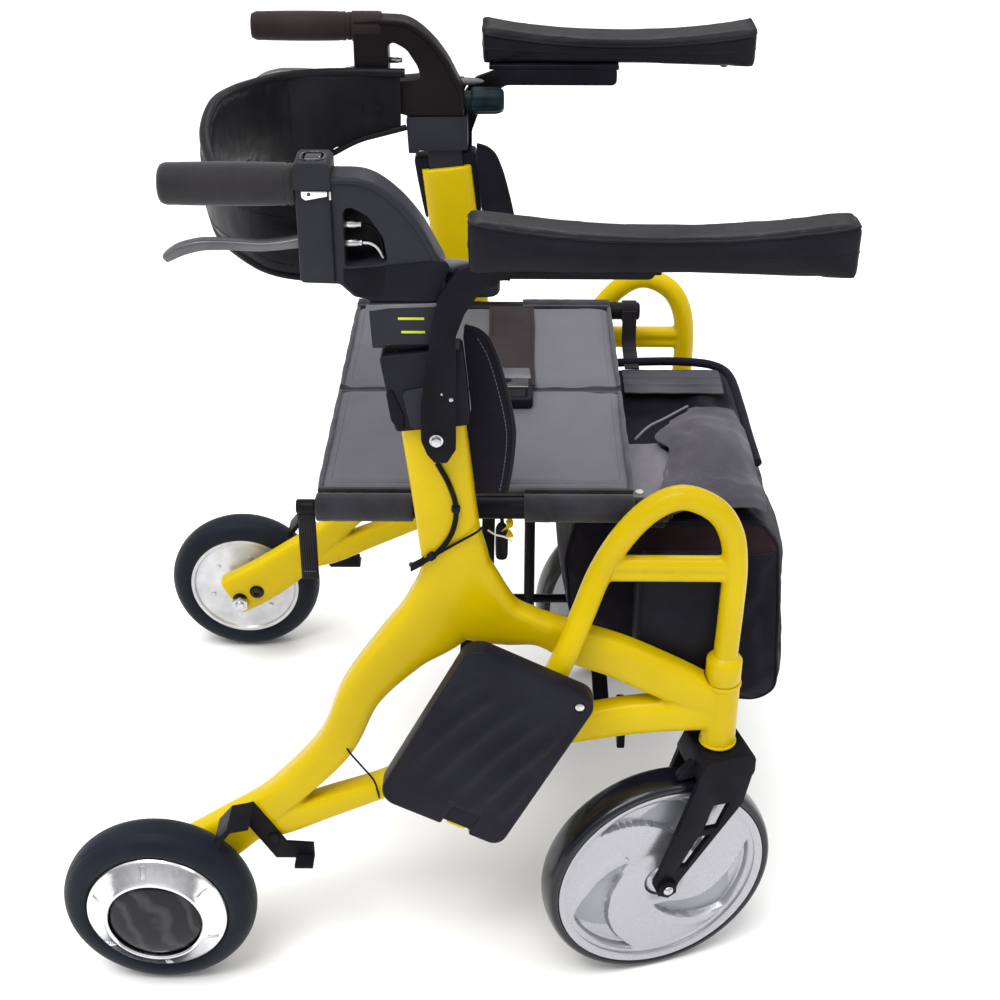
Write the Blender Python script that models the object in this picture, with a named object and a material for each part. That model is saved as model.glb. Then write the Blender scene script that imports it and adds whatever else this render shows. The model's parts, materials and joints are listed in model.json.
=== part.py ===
"""Electric rollator: two folding side frames, hub-motor rear wheels, casters, seat and leg supports.

Metres, +Z up, +X forwards, +Y to the user's left. The floor is Z = 0.
"""
import math

import bmesh
import bpy
from mathutils import Matrix, Vector

# Middle of the overall length, measured from the seat's station line
STATION_X = 0.0895

# Clearances
GAP = 0.0004
RUN = 0.0006

# Side frames
FRAME_Y = 0.262
FRAME_T = 0.030
UPRIGHT_LEAN = math.radians(6.3)
UPRIGHT_FOOT = (-0.058, 0.530)
UPRIGHT_HALF = 0.029
UPRIGHT_TOP_Z = 0.702
LEG_END_HALF = 0.029
HEAD_X = 0.2085
HEAD_R = 0.0175
HEAD_LOW_Z = 0.280
HEAD_TOP_Z = 0.357
STEM_R = 0.0095

# Rear wheels
REAR_X = -0.363
REAR_R = 0.100
LEG_END = (REAR_X - 0.012, REAR_R + 0.003)
BRAKE_AT = (REAR_X + REAR_R * 0.6, REAR_R * 1.8)
REAR_TYRE_W = 0.045
REAR_Y = FRAME_Y + FRAME_T / 2 + 0.0042 + REAR_TYRE_W / 2
RIM_R = 0.073
TYRE_STEPS = 6
WHEEL_SIDES = 32
RING_Y = 0.024
CAP_R = 0.050
CAP_Y = 0.036
AXLE_R = 0.006

# Casters
CASTER_R = 0.1237
CASTER_RIM_R = CASTER_R - 0.0112
CASTER_W = 0.0365
CASTER_WEB = 0.025
CASTER_TRAIL = 0.0575
CASTER_YAW = math.radians(17)
FORK_IN = CASTER_W / 2 + 0.00525
FORK_T = 0.006
CROWN_Z = 0.2515
CROWN_H = 0.027

# Swing-away leg supports
HOOP_R = 0.012
COLLAR_H = 0.027
LEG_Y = FRAME_Y + FRAME_T / 2 + HOOP_R * 2
PLATE_W = 0.136
PLATE_L = 0.203
PLATE_OFF = -0.018
PLATE_TAIL = 0.008
PLATE_T = 0.0215
PLATE_LEAN = math.radians(27.5)
PLATE_FOOT = (-0.0505, 0.236)
PLATE_NOTCH = 0.030
PIN_R = 0.005

# Seat and fold
RAIL_R = 0.0105
RAIL_Y = FRAME_Y - FRAME_T / 2 - RAIL_R - 0.0045
HINGE_Z = 0.533
SEAT_T = 0.014
SEAT_X = (-0.185, 0.117)
SLEEVE_R = RAIL_R + 0.003
SEAT_EDGE = 0.012
CENTRE_PIN_R = 0.004
KNUCKLE_R = CENTRE_PIN_R + 0.0025
LINK_Z = 0.275
LINK_PIN_R = 0.005
LINK_R = LINK_PIN_R + 0.004
ROD_X = 0.021
ROD_R = 0.006
FOLD_MAX = math.radians(70)
ROD_POCKET = (ROD_R + RUN) / math.cos(FOLD_MAX) + 0.001

# Handles
HANDLE_T = 0.034
HANDLE_Y = FRAME_Y + 0.002
POST_HALF = UPRIGHT_HALF - 0.009
POST_T = FRAME_T - 0.013
POST_LOW_Z = 0.552
BORE_LOW_Z = 0.530
GRIP_Z = 0.860
HANDLE_Z = GRIP_Z - 0.098
HANDLE_BACK = 0.0836130
POST_TOP_Z = HANDLE_Z + 0.013
GRIP_R = 0.018
GRIP_X = (-0.291, -0.1795)
LEVER_PIVOT = (-0.170, 0.049)
LEVER_SLOT_HALF = 0.0072
KNOB_R = 0.0155
POD_LOW = 0.116

# Armrests
ARM_PIVOT = (-0.066, 0.637)
ARM_T = 0.008
ARM_Y = FRAME_Y + FRAME_T / 2 + 0.0075 + ARM_T / 2
PAD_Y = ARM_Y + 0.0255
PAD_W = 0.052
PAD_X = (-0.036, 0.276)
PAD_Z = (0.812, 0.842)

# Soft goods and power
BAND_H = 0.082
BAND_T = 0.012
BAND_SAG = 0.036
# Places along the band: x, share of the side's y, how far it hangs in BAND_SAGs, its height in BAND_Hs
BAND_STATIONS = [(-0.142, 1.0, 0.80, 0.933), (-0.178, 1.0, 1.08, 1.061), (-0.216, 0.964, 1.56, 1.287),
                 (-0.250, 0.831, 1.53, 1.335), (-0.272, 0.623, 1.08, 1.226), (-0.287, 0.333, 0.44, 1.073),
                 (-0.291, 0.0, 0.06, 1.024), (-0.286, -0.333, 0.0, 0.963), (-0.268, -0.623, 0.06, 0.902),
                 (-0.245, -0.831, -0.03, 0.841), (-0.213, -0.964, 0.11, 0.902), (-0.178, -1.0, 0.21, 0.945),
                 (-0.142, -1.0, 0.23, 0.955)]
BAG_X = (0.058, 0.284)
BAG_Y = RAIL_Y - 0.054
BAG_Z = (0.262, HINGE_Z - 0.021)
PACK_X = (0.122, 0.205)
PACK_Z = (0.352, 0.470)
PACK_T = 0.048

SIDES = {"right": -1, "left": 1}
COLOURS = {
    "yellow": ((0.63, 0.46, 0.01), 0.32, 0.1),
    "black": ((0.012, 0.012, 0.014), 0.45, 0.0),
    "rubber": ((0.016, 0.018, 0.022), 0.7, 0.0),
    "silver": ((0.55, 0.55, 0.58), 0.25, 0.9),
    "steel": ((0.45, 0.45, 0.46), 0.35, 1.0),
    "grip": ((0.03, 0.03, 0.034), 0.65, 0.0),
    "leather": ((0.025, 0.025, 0.03), 0.5, 0.0),
    "fabric": ((0.05, 0.052, 0.065), 0.85, 0.0),
    "bag": ((0.014, 0.012, 0.017), 0.8, 0.0),
    "lever": ((0.11, 0.11, 0.12), 0.45, 0.2),
}
BODIES = {}


def clear_scene():
    for obj in list(bpy.data.objects):
        bpy.data.objects.remove(obj, do_unlink=True)


def material(name):
    colour, rough, metal = COLOURS[name]
    mat = bpy.data.materials.get(name) or bpy.data.materials.new(name)
    mat.use_nodes = True
    shader = mat.node_tree.nodes["Principled BSDF"]
    shader.inputs["Base Color"].default_value = (*colour, 1)
    shader.inputs["Roughness"].default_value = rough
    shader.inputs["Metallic"].default_value = metal
    return mat


def body(name, parent=None, pivot=(0, 0, 0), yaw=0.0):
    """An empty on the joint's axis carries every piece of one moving body."""
    empty = bpy.data.objects.new("body_" + name, None)
    bpy.context.collection.objects.link(empty)
    frame = Matrix.Translation(pivot) @ Matrix.Rotation(yaw, 4, "Z")
    if parent:
        empty.parent = bpy.data.objects["body_" + parent]
        empty.matrix_local = BODIES[parent].inverted() @ frame
    else:
        empty.location.x = STATION_X
    BODIES[name] = frame


def solid(name, bm, colour, owner, local=False, smooth=35):
    """Turn a closed bmesh, drawn in the design frame, into a named piece of a body."""
    bmesh.ops.remove_doubles(bm, verts=bm.verts, dist=1e-6)
    bmesh.ops.recalc_face_normals(bm, faces=bm.faces)
    if not local:
        bmesh.ops.transform(bm, matrix=BODIES[owner].inverted(), verts=bm.verts)
    mesh = bpy.data.meshes.new(name)
    bm.to_mesh(mesh)
    bm.free()
    mesh.shade_smooth()
    mesh.set_sharp_from_angle(angle=math.radians(smooth))
    mesh.materials.append(material(colour))
    obj = bpy.data.objects.new(name, mesh)
    bpy.context.collection.objects.link(obj)
    obj.parent = bpy.data.objects["body_" + owner]
    return obj


def cutter(bm):
    """A hidden solid used by a Boolean."""
    bmesh.ops.recalc_face_normals(bm, faces=bm.faces)
    mesh = bpy.data.meshes.new("tool")
    bm.to_mesh(mesh)
    bm.free()
    obj = bpy.data.objects.new("tool", mesh)
    bpy.context.collection.objects.link(obj)
    obj.hide_render = True
    obj.display_type = "WIRE"
    return obj


def combine(base, steps):
    """Union or cut each (operation, bmesh) with the base bmesh, and return the result."""
    host = cutter(base)
    for operation, tool in steps:
        mod = host.modifiers.new("step", "BOOLEAN")
        mod.operation = operation
        mod.object = cutter(tool)
        mod.solver = "EXACT"
    graph = bpy.context.evaluated_depsgraph_get()
    mesh = bpy.data.meshes.new_from_object(host.evaluated_get(graph))
    result = bmesh.new()
    result.from_mesh(mesh)
    for mod in host.modifiers:
        bpy.data.objects.remove(mod.object, do_unlink=True)
    bpy.data.objects.remove(host, do_unlink=True)
    bpy.data.meshes.remove(mesh)
    bmesh.ops.remove_doubles(result, verts=result.verts, dist=2e-5)
    bmesh.ops.dissolve_degenerate(result, edges=result.edges, dist=1e-5)
    return result


def rings(loops, closed=False):
    """Skin a list of equal vertex loops into a closed solid."""
    bm = bmesh.new()
    rows = [[bm.verts.new(p) for p in loop] for loop in loops]
    pairs = list(zip(rows, rows[1:]))
    if closed:
        pairs.append((rows[-1], rows[0]))
    for low, high in pairs:
        for i in range(len(low)):
            j = (i + 1) % len(low)
            bm.faces.new((low[i], low[j], high[j], high[i]))
    if not closed:
        bm.faces.new(rows[0])
        bm.faces.new(list(reversed(rows[-1])))
    bmesh.ops.recalc_face_normals(bm, faces=bm.faces)
    return bm


def box(low, high, bevel=0.0):
    bm = bmesh.new()
    bmesh.ops.create_cube(bm, size=1)
    centre = [(a + b) / 2 for a, b in zip(low, high)]
    size = [abs(b - a) for a, b in zip(low, high)]
    for vert in bm.verts:
        vert.co = Vector([c + v * s for c, v, s in zip(centre, vert.co, size)])
    if bevel:
        bmesh.ops.bevel(bm, geom=bm.edges[:], offset=bevel, segments=1, affect="EDGES")
    return bm


def cylinder(a, b, radius, sides=16):
    """A round bar from point a to point b."""
    a, b = Vector(a), Vector(b)
    bm = bmesh.new()
    bmesh.ops.create_cone(bm, cap_ends=True, segments=sides, radius1=radius,
                          radius2=radius, depth=(b - a).length)
    turn = Vector((0, 0, 1)).rotation_difference((b - a).normalized()).to_matrix().to_4x4()
    bmesh.ops.transform(bm, matrix=Matrix.Translation((a + b) / 2) @ turn, verts=bm.verts)
    return bm


def lathe(profile, centre, sides=32):
    """Spin a closed (offset along Y, radius) profile about the Y line through centre."""
    cx, cy, cz = centre
    loops = []
    for k in range(sides):
        t = 2 * math.pi * k / sides
        loops.append([(cx + r * math.cos(t), cy + y, cz + r * math.sin(t)) for y, r in profile])
    return rings(loops, closed=True)


def plate(outline, y0, y1, bevel=0.0):
    """Extrude an outline of (x, z) points from y0 to y1."""
    bm = rings([[(x, y, z) for x, z in outline] for y in (y0, y1)])
    if bevel:
        rim = [e for e in bm.edges if abs(e.verts[0].co.y - e.verts[1].co.y) < 1e-7]
        bmesh.ops.bevel(bm, geom=rim, offset=bevel, segments=1, affect="EDGES")
    return bm


def rounded(corners, radius, steps=3):
    """Round each corner of a convex outline."""
    out = []
    count = len(corners)
    for i, corner in enumerate(corners):
        here = Vector(corner)
        before = (Vector(corners[i - 1]) - here).normalized()
        after = (Vector(corners[(i + 1) % count]) - here).normalized()
        reach = radius / math.tan(before.angle(after) / 2)
        middle = here + (before + after).normalized() * radius / math.sin(before.angle(after) / 2)
        start = here + before * reach - middle
        end = here + after * reach - middle
        turn = start.angle_signed(end)
        for k in range(steps + 1):
            out.append(tuple(middle + Matrix.Rotation(-turn * k / steps, 2) @ start))
    return out


def smooth_path(points, spacing):
    """Points at an even spacing on a smooth curve through the given points."""
    pts = [Vector(p) for p in points]
    pts = [2 * pts[0] - pts[1]] + pts + [2 * pts[-1] - pts[-2]]
    fine = []
    for a, b, c, d in zip(pts, pts[1:], pts[2:], pts[3:]):
        for k in range(16):
            t = k / 16
            fine.append(0.5 * (2 * b + (c - a) * t + (2 * a - 5 * b + 4 * c - d) * t * t
                               + (3 * b - a - 3 * c + d) * t ** 3))
    fine.append(pts[-2])
    total = sum((q - p).length for p, q in zip(fine, fine[1:]))
    steps = max(2, round(total / spacing))
    out, walked, target = [fine[0]], 0.0, total / steps
    for p, q in zip(fine, fine[1:]):
        length = (q - p).length
        while length and walked + length >= target - 1e-9 and len(out) < steps:
            out.append(p.lerp(q, (target - walked) / length))
            target += total / steps
        walked += length
    out.append(fine[-1])
    return out


def tube(points, radius, spacing=0.03, sides=10):
    """A round tube on a smooth curve through 3-D points."""
    path = smooth_path(points, spacing)
    loops = []
    side = None
    for i, here in enumerate(path):
        ahead = (path[min(i + 1, len(path) - 1)] - path[max(i - 1, 0)]).normalized()
        if side is None:
            side = ahead.orthogonal()
        side = (side - ahead * side.dot(ahead)).normalized()
        other = ahead.cross(side)
        loops.append([here + side * radius * math.cos(2 * math.pi * k / sides)
                      + other * radius * math.sin(2 * math.pi * k / sides) for k in range(sides)])
    return rings(loops)


def oval_sweep(stations, y, thick, spacing=0.034, sides=8):
    """Sweep a rounded-box section along stations of (x, z, half height) in the plane of constant y."""
    path = smooth_path(stations, spacing)
    flat = math.cos(math.pi / sides) ** 0.7
    loops = []
    for i, here in enumerate(path):
        a, b = path[max(i - 1, 0)], path[min(i + 1, len(path) - 1)]
        ahead = Vector((b.x - a.x, b.y - a.y)).normalized()
        normal = Vector((-ahead.y, ahead.x))
        loop = []
        for k in range(sides):
            t = 2 * math.pi * (k + 0.5) / sides
            c, s = math.cos(t), math.sin(t)
            c = math.copysign(abs(c) ** 0.7 / flat, c)
            s = math.copysign(abs(s) ** 0.7 / flat, s)
            spot = Vector((here.x, here.y)) + normal * here.z * s
            loop.append((spot.x, y + thick / 2 * c, spot.y))
        loops.append(loop)
    return rings(loops)


def upright_point(z, forward=0.0):
    """Centre of the leaning upright at height z, moved forwards along its own cross axis."""
    x = UPRIGHT_FOOT[0] - (z - UPRIGHT_FOOT[1]) * math.tan(UPRIGHT_LEAN)
    return x + forward * math.cos(UPRIGHT_LEAN), z + forward * math.sin(UPRIGHT_LEAN)


def upright_quad(z0, z1, half, forward=0.0):
    """Outline of a block that follows the leaning upright."""
    return [upright_point(z0, forward - half), upright_point(z0, forward + half),
            upright_point(z1, forward + half), upright_point(z1, forward - half)]


def by_brake(points):
    """(x, z) points drawn from the place on the rear tyre that the brake shoe presses."""
    return [(BRAKE_AT[0] + x, BRAKE_AT[1] + z) for x, z in points]


def at_handle(points):
    """(x, z) points drawn from the foot of the handle, which stays on the leaning upright's line."""
    shift = upright_point(HANDLE_Z)[0] + HANDLE_BACK
    return [(x + shift, HANDLE_Z + z) for x, z in points]


def side_frame(side, s):
    y = s * FRAME_Y
    inner = s * (FRAME_Y - FRAME_T / 2)
    top = upright_point(UPRIGHT_TOP_Z)
    leg = [(*top, UPRIGHT_HALF), (*upright_point(0.62), UPRIGHT_HALF), (*UPRIGHT_FOOT, UPRIGHT_HALF),
           (-0.052, 0.482, 0.033), (-0.066, 0.436, 0.037), (-0.106, 0.394, 0.027),
           (-0.147, 0.341, 0.021), (-0.1765, 0.275, 0.019), (-0.2365, REAR_R + 0.106, 0.0180),
           (-0.285, REAR_R + 0.063, 0.025), (-0.331, REAR_R + 0.0285, 0.0285), (*LEG_END, LEG_END_HALF)]
    rail = [(-0.062, 0.468, 0.030), (-0.035, 0.437, 0.031), (-0.004, 0.426, 0.024),
            (0.030, 0.421, 0.0185), (0.066, 0.400, 0.0215), (0.105, 0.384, 0.0215),
            (0.150, 0.361, 0.022), (HEAD_X - 0.022, 0.342, 0.020),
            (HEAD_X - 0.003, 0.331, 0.015)]
    lower = [(HEAD_X - 0.004, 0.318, 0.018), (0.142, 0.315, 0.0195), (0.088, 0.306, 0.019),
             (0.0, 0.283, 0.016), (-0.070, 0.2515, 0.0135), (-0.130, 0.2215, 0.0125),
             (-0.185, 0.198, 0.015), (-0.240, REAR_R + 0.074, 0.017), (-0.290, REAR_R + 0.063, 0.016)]
    steps = [("UNION", oval_sweep(rail, y, FRAME_T)), ("UNION", oval_sweep(lower, y, FRAME_T - 0.002))]
    steps.append(("UNION", cylinder((HEAD_X, y, HEAD_LOW_Z), (HEAD_X, y, HEAD_TOP_Z), HEAD_R, 20)))
    steps.append(("UNION", plate(by_brake([(0.041, 0.010), (0.041, -0.034), (0.081, -0.034), (0.088, 0.010)]),
                                 y - s * 0.008, y + s * 0.008)))
    for x in (-0.066, 0.112):
        drop = 0.013 if x > 0 else -0.010
        steps.append(("UNION", plate([(x - 0.004, LINK_Z - LINK_R), (x + 0.004, LINK_Z - LINK_R),
                                      (x + 0.004, LINK_Z + 0.02 + drop), (x - 0.004, LINK_Z + 0.02 + drop)],
                                     s * (RAIL_Y - LINK_R), s * (FRAME_Y - 0.004))))
    steps.append(("UNION", cylinder((-0.066, s * RAIL_Y, LINK_Z), (0.112, s * RAIL_Y, LINK_Z),
                                    LINK_PIN_R, 12)))
    steps.append(("DIFFERENCE", box((HEAD_X - 0.04, y - 0.03, HEAD_TOP_Z), (HEAD_X + 0.03, y + 0.03, 0.40))))
    steps.append(("DIFFERENCE", cylinder((HEAD_X, y, HEAD_LOW_Z - 0.01), (HEAD_X, y, HEAD_TOP_Z + 0.01),
                                         STEM_R + RUN, 20)))
    steps.append(("DIFFERENCE", cylinder((REAR_X, inner - s * 0.02, REAR_R),
                                         (REAR_X, inner + s * 0.06, REAR_R), AXLE_R + GAP, 16)))
    bore = upright_quad(BORE_LOW_Z, UPRIGHT_TOP_Z + 0.03, POST_HALF + RUN)
    steps.append(("DIFFERENCE", plate(bore, y - POST_T / 2 - RUN, y + POST_T / 2 + RUN)))
    solid(side + "_side_frame", combine(oval_sweep(leg, y, FRAME_T), steps), "yellow", side + "_frame")


def seat_rail(side, s):
    """The tube that the seat hinges on, with the saddle that bolts it to the upright."""
    y = s * RAIL_Y
    tube_part = cylinder((SEAT_X[0], y, HINGE_Z), (0.152, y, HINGE_Z), RAIL_R, 16)
    saddle = box((-0.083, y - s * 0.004, HINGE_Z - 0.014),
                 (-0.036, s * (FRAME_Y - FRAME_T / 2 - GAP), HINGE_Z + 0.006))
    solid(side + "_seat_rail", combine(tube_part, [("UNION", saddle)]), "black", side + "_frame")


def upright_sleeve(side, s):
    """Moulded collar that guides the height post at the top of the upright."""
    y = s * FRAME_Y
    outer = plate(upright_quad(0.636, UPRIGHT_TOP_Z + 0.014, UPRIGHT_HALF + 0.007),
                  y - s * FRAME_T * 0.2, s * (ARM_Y - ARM_T / 2 - GAP))
    core = plate(upright_quad(0.60, UPRIGHT_TOP_Z + GAP, UPRIGHT_HALF + GAP),
                 y - s * 0.03, y + s * (FRAME_T / 2 + GAP))
    slot = plate(upright_quad(0.60, UPRIGHT_TOP_Z + 0.05, POST_HALF + RUN),
                 y - s * 0.03, y + s * (POST_T / 2 + RUN))
    solid(side + "_upright_sleeve", combine(outer, [("DIFFERENCE", core), ("DIFFERENCE", slot)]),
          "black", side + "_frame")


def rear_wheel(side, s):
    owner = side + "_rear_wheel"
    centre = (REAR_X, s * REAR_Y, REAR_R)
    body(owner, side + "_frame", centre)
    half = REAR_TYRE_W / 2
    tyre = []
    for k in range(TYRE_STEPS + 1):
        t = math.pi * k / TYRE_STEPS
        bulge = (REAR_R - 0.020) + 0.020 * math.sin(t) ** 0.8
        tyre.append((-half * math.cos(t), bulge))
    tyre += [(half - 0.003, RIM_R + GAP), (-half + 0.003, RIM_R + GAP)]
    solid(side + "_rear_tyre", lathe(tyre, centre, WHEEL_SIDES), "rubber", owner)
    hub = [(-0.0185, RIM_R), (0.0185, RIM_R), (RING_Y, RIM_R - 0.001), (CAP_Y, CAP_R + 0.001),
           (CAP_Y - 0.010, CAP_R - 0.002), (0.020, AXLE_R + 0.012), (0.020, AXLE_R + GAP),
           (-0.0195, AXLE_R + GAP), (-0.0195, 0.030), (-0.0160, 0.060)]
    solid(side + "_motor_hub", lathe([(s * a, r) for a, r in hub], centre, WHEEL_SIDES), "silver", owner)
    cap = []
    for k in range(5):
        t = math.pi / 2 * k / 4
        cap.append((CAP_Y - 0.006 + 0.0075 * math.sin(t), (CAP_R - 0.0022) * math.cos(t) + 0.001 * (k < 1)))
    cap = [(CAP_Y - 0.009, 0.0004), (CAP_Y - 0.009, CAP_R - 0.0028)] + cap[:-1] + [(CAP_Y + 0.0015, 0.0004)]
    solid(side + "_hub_cap", lathe([(s * a, r) for a, r in cap], centre, WHEEL_SIDES - 6), "black", owner)
    inner = s * (FRAME_Y - FRAME_T / 2)
    bar = cylinder((REAR_X, inner - s * 0.011, REAR_R), (REAR_X, s * (REAR_Y + 0.019), REAR_R), AXLE_R, 14)
    nut = cylinder((REAR_X, inner - s * 0.0085, REAR_R), (REAR_X, inner - s * GAP, REAR_R), 0.0115, 6)
    solid(side + "_rear_axle", combine(bar, [("UNION", nut)]), "steel", side + "_frame")


def brake_arm(side, s):
    """Folded steel arm whose shoe presses on the rear tyre."""
    owner = side + "_brake_arm"
    x, z = by_brake([(0.060, -0.014)])[0]
    pivot = (x, s * (FRAME_Y + FRAME_T / 2 + 0.0035), z)
    body(owner, side + "_frame", pivot)
    y0, y1 = s * (FRAME_Y + FRAME_T / 2 + 0.0006), s * (FRAME_Y + FRAME_T / 2 + 0.0046)
    bar = plate(by_brake([(0.041, 0.030), (0.021, 0.023), (0.060, -0.043), (0.100, -0.043), (0.100, -0.024),
                          (0.072, -0.022)]), y0, y1)
    shoe = plate(by_brake([(0.041, 0.0302), (0.019, 0.025), (0.0045, 0.007), (0.0065, 0.0015),
                           (0.0105, 0.0045), (0.022, 0.0205), (0.041, 0.025)]),
                 y1 - s * 0.003, s * (REAR_Y + 0.012))
    low, high = by_brake([(0.081, -0.043), (0.100, -0.039)])
    lip = box((low[0], y1 - s * 0.001, low[1]), (high[0], y1 + s * 0.016, high[1]))
    bolt = cylinder((pivot[0], y1 - s * 0.001, pivot[2]), (pivot[0], y1 + s * 0.0035, pivot[2]), 0.006, 6)
    steps = [("UNION", shoe), ("UNION", lip), ("UNION", bolt)]
    solid(side + "_brake_arm", combine(bar, steps), "black", owner)


def caster(side, s):
    """Fork and wheel, drawn with the wheel trailing straight back and turned by the yaw."""
    fork = side + "_fork"
    wheel = side + "_caster_wheel"
    y = s * FRAME_Y
    body(fork, side + "_frame", (HEAD_X, y, 0), CASTER_YAW)
    hub = Matrix.Translation((HEAD_X, y, 0)) @ Matrix.Rotation(CASTER_YAW, 4, "Z") \
        @ Vector((-CASTER_TRAIL, 0, CASTER_R))
    body(wheel, fork, hub, CASTER_YAW)
    crown = plate(rounded([(-0.034, CROWN_Z), (0.030, CROWN_Z), (0.030, CROWN_Z + CROWN_H),
                           (-0.022, CROWN_Z + CROWN_H)], 0.006, 2), -FORK_IN - FORK_T, FORK_IN + FORK_T)
    steps = []
    foot = (-CASTER_TRAIL, CASTER_R)
    arm = [(-0.030, CROWN_Z + 0.004), (0.030, CROWN_Z + 0.012), (0.020, 0.218),
           (foot[0] + 0.014, foot[1] + 0.004), (foot[0] + 0.008, foot[1] - 0.011),
           (foot[0] - 0.008, foot[1] - 0.011), (foot[0] - 0.014, foot[1] + 0.004)]
    slots = [[(-0.012, 0.222), (0.006, 0.222), (-0.006, 0.192), (-0.021, 0.192)],
             [(-0.026, 0.184), (-0.012, 0.184), (-0.036, 0.147), (-0.045, 0.147)]]
    for e in (-1, 1):
        y0, y1 = e * FORK_IN, e * (FORK_IN + FORK_T)
        steps.append(("UNION", plate(arm, y0, y1)))
        for slot in slots:
            steps.append(("DIFFERENCE", plate(slot, y0 - e * 0.004, y1 + e * 0.004)))
    lug = plate(rounded([(-0.028, CROWN_Z + 0.024), (-0.052, CROWN_Z - 0.003), (-0.028, CROWN_Z - 0.0005)],
                        0.0035, 2), s * 0.006, s * 0.014)
    steps.append(("UNION", lug))
    steps.append(("UNION", cylinder((0, 0, CROWN_Z + 0.02), (0, 0, CROWN_Z + CROWN_H + 0.036), STEM_R, 16)))
    steps.append(("DIFFERENCE", cylinder((*foot[:1], -0.06, foot[1]), (*foot[:1], 0.06, foot[1]),
                                         AXLE_R + GAP, 14)))
    solid(side + "_caster_fork", combine(crown, steps), "black", fork, local=True)
    reach = FORK_IN + FORK_T
    bar = cylinder((foot[0], -reach - 0.004, foot[1]), (foot[0], reach + 0.004, foot[1]), AXLE_R, 14)
    heads = []
    for e in (-1, 1):
        heads.append(("UNION", cylinder((foot[0], e * (reach + GAP), foot[1]),
                                        (foot[0], e * (reach + 0.005), foot[1]), 0.0105, 6)))
    solid(side + "_caster_axle", combine(bar, heads), "steel", fork, local=True)
    half = CASTER_W / 2
    tread = [(-half + 0.001, CASTER_RIM_R + GAP), (-half, CASTER_R - 0.006), (-half * 0.6, CASTER_R - 0.001),
             (0, CASTER_R), (half * 0.6, CASTER_R - 0.001), (half, CASTER_R - 0.006),
             (half - 0.001, CASTER_RIM_R + GAP)]
    solid(side + "_caster_tyre", lathe(tread, (0, 0, 0), WHEEL_SIDES), "rubber", wheel, local=True)
    web = CASTER_WEB / 2
    rim = [(-half + 0.001, CASTER_RIM_R), (-half, CASTER_RIM_R - 0.006), (-web, CASTER_RIM_R - 0.018),
           (-web, 0.030), (-FORK_IN + RUN + 0.002, 0.016), (-FORK_IN + RUN + 0.002, AXLE_R + GAP)]
    rim = rim + [(-a, r) for a, r in reversed(rim)]
    solid(side + "_caster_rim", lathe(rim, (0, 0, 0), WHEEL_SIDES), "silver", wheel, local=True)


def plate_axes():
    """Unit vectors of the stowed footplate: across it and up its length."""
    across = Vector((math.cos(PLATE_LEAN), 0, -math.sin(PLATE_LEAN)))
    along = Vector((math.sin(PLATE_LEAN), 0, math.cos(PLATE_LEAN)))
    return across, along


def leg_support(side, s):
    hanger = side + "_hanger"
    y = s * FRAME_Y
    leg_y = s * LEG_Y
    body(hanger, side + "_frame", (HEAD_X, y, 0))
    low = HEAD_TOP_Z + GAP
    collar = cylinder((HEAD_X, y, low), (HEAD_X, y, low + COLLAR_H), HEAD_R, 20)
    across, along = plate_axes()
    foot = Vector((PLATE_FOOT[0], s * LEG_Y, PLATE_FOOT[1]))
    hoop = [(HEAD_X, y, low + 0.01), (HEAD_X + 0.002, y, 0.44), (HEAD_X + 0.002, y, 0.49),
            (0.204, y, 0.526), (0.187, y, 0.551), (0.157, y, 0.563), (0.129, y, 0.550),
            (0.104, y, 0.520), (0.084, y + (leg_y - y) * 0.05, 0.482), (0.068, y + (leg_y - y) * 0.46, 0.446),
            (0.052, y + (leg_y - y) * 0.87, 0.410), (0.034, leg_y, 0.375),
            tuple(foot + along * 0.08), tuple(foot + along * 0.006)]
    pin_at = foot + Vector((0, s * (PLATE_T / 2 + HOOP_R + 0.0045), 0))
    lug = plate_block(foot.y - s * 0.004, pin_at.y + s * 0.007, -0.010, 0.010, -0.007, 0.010)
    reach = PLATE_NOTCH / 2 + 0.020
    steps = [("UNION", tube(hoop, HOOP_R, 0.026, 9)),
             ("UNION", cylinder((0.098, y, 0.487), (HEAD_X, y, 0.487), 0.0115, 12)),
             ("UNION", cylinder((HEAD_X, y, low - 0.030), (HEAD_X, y, low + 0.01), STEM_R, 16)),
             ("UNION", lug),
             ("UNION", cylinder(pin_at - across * reach, pin_at + across * reach, PIN_R, 12))]
    solid(hanger, combine(collar, steps), "yellow", hanger)
    return pin_at


def plate_block(y0, y1, a0, a1, l0, l1):
    """A block in the stowed footplate's own directions, from its foot point."""
    across, along = plate_axes()
    foot = Vector((PLATE_FOOT[0], 0, PLATE_FOOT[1]))
    corners = [foot + across * a + along * b for a, b in ((a0, l0), (a1, l0), (a1, l1), (a0, l1))]
    return plate([(c.x, c.z) for c in corners], y0, y1)


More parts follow.
